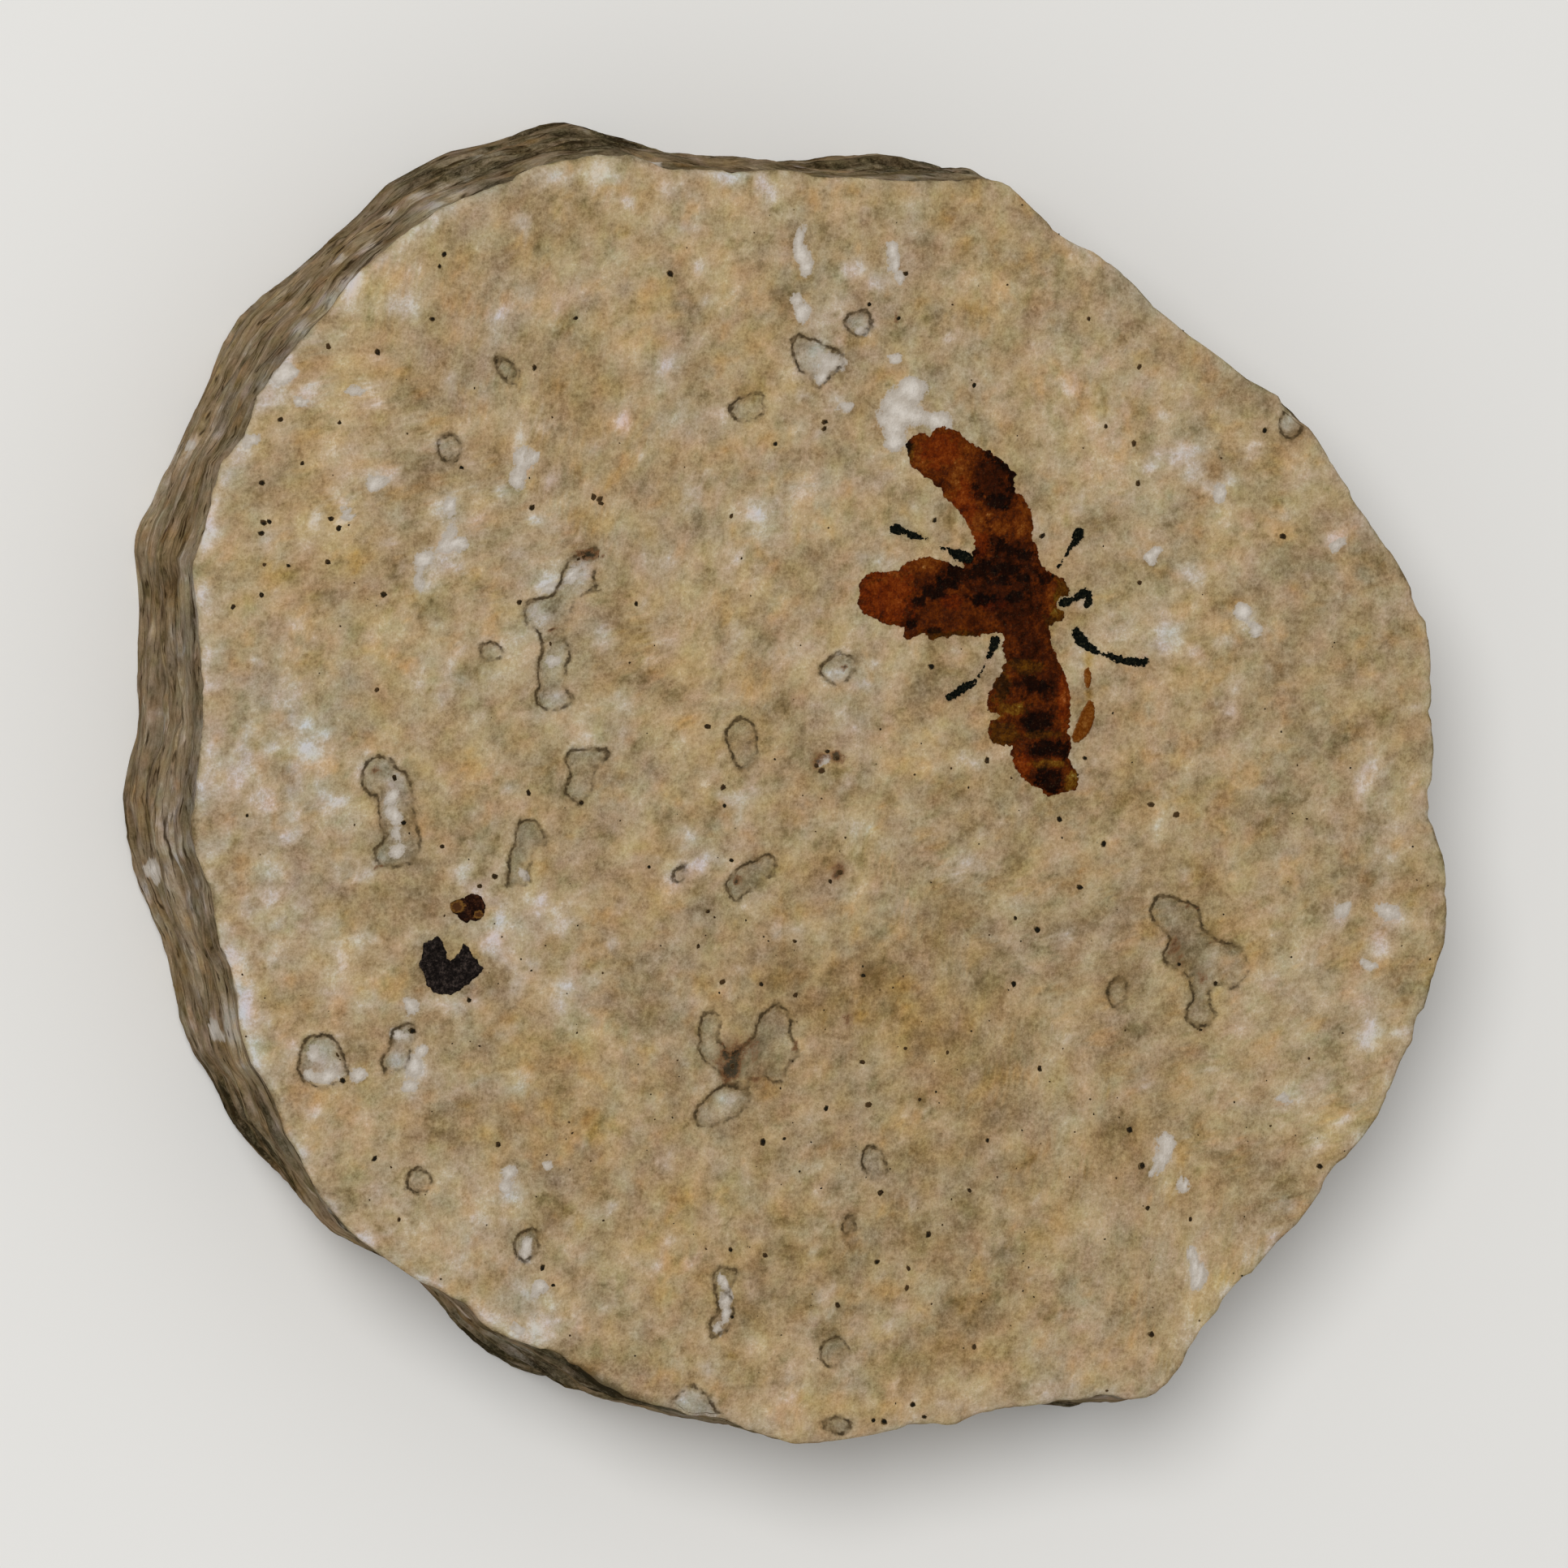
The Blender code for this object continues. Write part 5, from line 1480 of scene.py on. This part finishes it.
def brown_scrap_surface():
    """The brown husk: dark red-brown with two amber rings."""
    p = Paint("brown_carbon")
    mottle = p.noise(8.0, 2.0, 4.0)
    colour = p.mottled(mottle, 1.6, BROWN_SCRAP_TONES)
    ring = p.add(p.field("ring"), p.times(mottle, 1.2))
    colour = p.mix(p.step(ring, -0.05, 0.25, 0.8), colour, RING_AMBER)
    colour = p.mix(p.step(ring, 0.25, 0.55, 0.85), colour, RING_MIDDLE)
    return p.finish(colour, p.add(0.5, p.times(mottle, 0.25)), mottle, 0.02, FILM_SPECULAR)


def speck_surface():
    """Specks of mineral: black to dark brown, paler round their foot."""
    p = Paint("speck_mineral")
    tint = p.noise(0.9, 1.0, 4.0)
    fine = p.noise(16.0, 1.0, 6.0)
    colour = p.mix(p.step(p.add(tint, p.times(fine, 0.5)), -0.1, 0.15), *SPECK_BROWNS)
    colour = p.mix(p.step(p.add(p.field("core"), fine), 0.75, 0.0, 0.8), colour, SPECK_RIM)
    return p.finish(colour, p.add(0.65, p.times(fine, 0.3)), fine, 0.01, FILM_SPECULAR)


def floor_surface():
    """A plain pale floor, matt and faintly uneven."""
    p = Paint("pale_floor")
    colour = p.mix(p.add(0.5, p.noise(0.01, 0.0, 0.0)), *FLOOR_GREYS)
    return p.finish(colour, 0.9, None, 0.0, 0.0)


def make_floor():
    """A plain pale floor just under the slab."""
    half = FLOOR_HALF_WIDTH / MM
    around = ((-half, -half), (half, -half), (half, half), (-half, half))
    corners = [(x, y, -FLOOR_DROP) for x, y in around]
    floor = make_piece("pale_floor", corners, [(0, 1, 2, 3)], (floor_surface(),))


def make_camera():
    """The photograph's camera."""
    data = bpy.data.cameras.new("photo_camera")
    data.sensor_fit = "HORIZONTAL"
    data.sensor_width = SENSOR
    data.lens = LENS
    data.clip_start = CLIP_FROM
    data.clip_end = CLIP_TO
    camera = bpy.data.objects.new("photo_camera", data)
    turn = Matrix((RIGHT, UP, BACK)).transposed().to_4x4()
    camera.matrix_world = Matrix.Translation(EYE * MM) @ turn
    bpy.context.scene.collection.objects.link(camera)
    bpy.context.scene.camera = camera


def make_light():
    """A pale surrounding light and one large soft lamp above, towards the upper left."""
    world = bpy.data.worlds.new("studio")
    world.use_nodes = True
    background = world.node_tree.nodes["Background"]
    background.inputs["Color"].default_value = WORLD_COLOUR
    background.inputs["Strength"].default_value = WORLD_STRENGTH
    bpy.context.scene.world = world
    data = bpy.data.lights.new("key", "AREA")
    data.shape = "DISK"
    data.size = KEY_SIZE
    data.energy = KEY_POWER
    key = bpy.data.objects.new("key", data)
    key.location = KEY_PLACE
    key.rotation_euler = (-Vector(KEY_PLACE)).to_track_quat("-Z", "Y").to_euler()
    bpy.context.scene.collection.objects.link(key)


def build():
    """Every piece, then the stage."""
    bpy.context.scene.view_settings.view_transform = "Standard"
    slab_skin(shale_surface(), wall_surface())
    march_fly_film(fly_surface())
    leg_films(leg_surface())
    amber = amber_surface()
    low_film("amber_scrap", amber, AMBER_SCRAP_FILM)
    low_film("amber_fleck", amber, AMBER_FLECK_FILM)
    low_film("dark_plant_scrap", dark_scrap_surface(), DARK_SCRAP_FILM)
    low_film("brown_plant_scrap", brown_scrap_surface(), BROWN_SCRAP_FILM,
             extra=lambda place: {"ring": pixel_spots(place, BROWN_SCRAP_RINGS)})
    mineral_specks(speck_surface())
    make_floor()
    make_camera()
    make_light()


build()
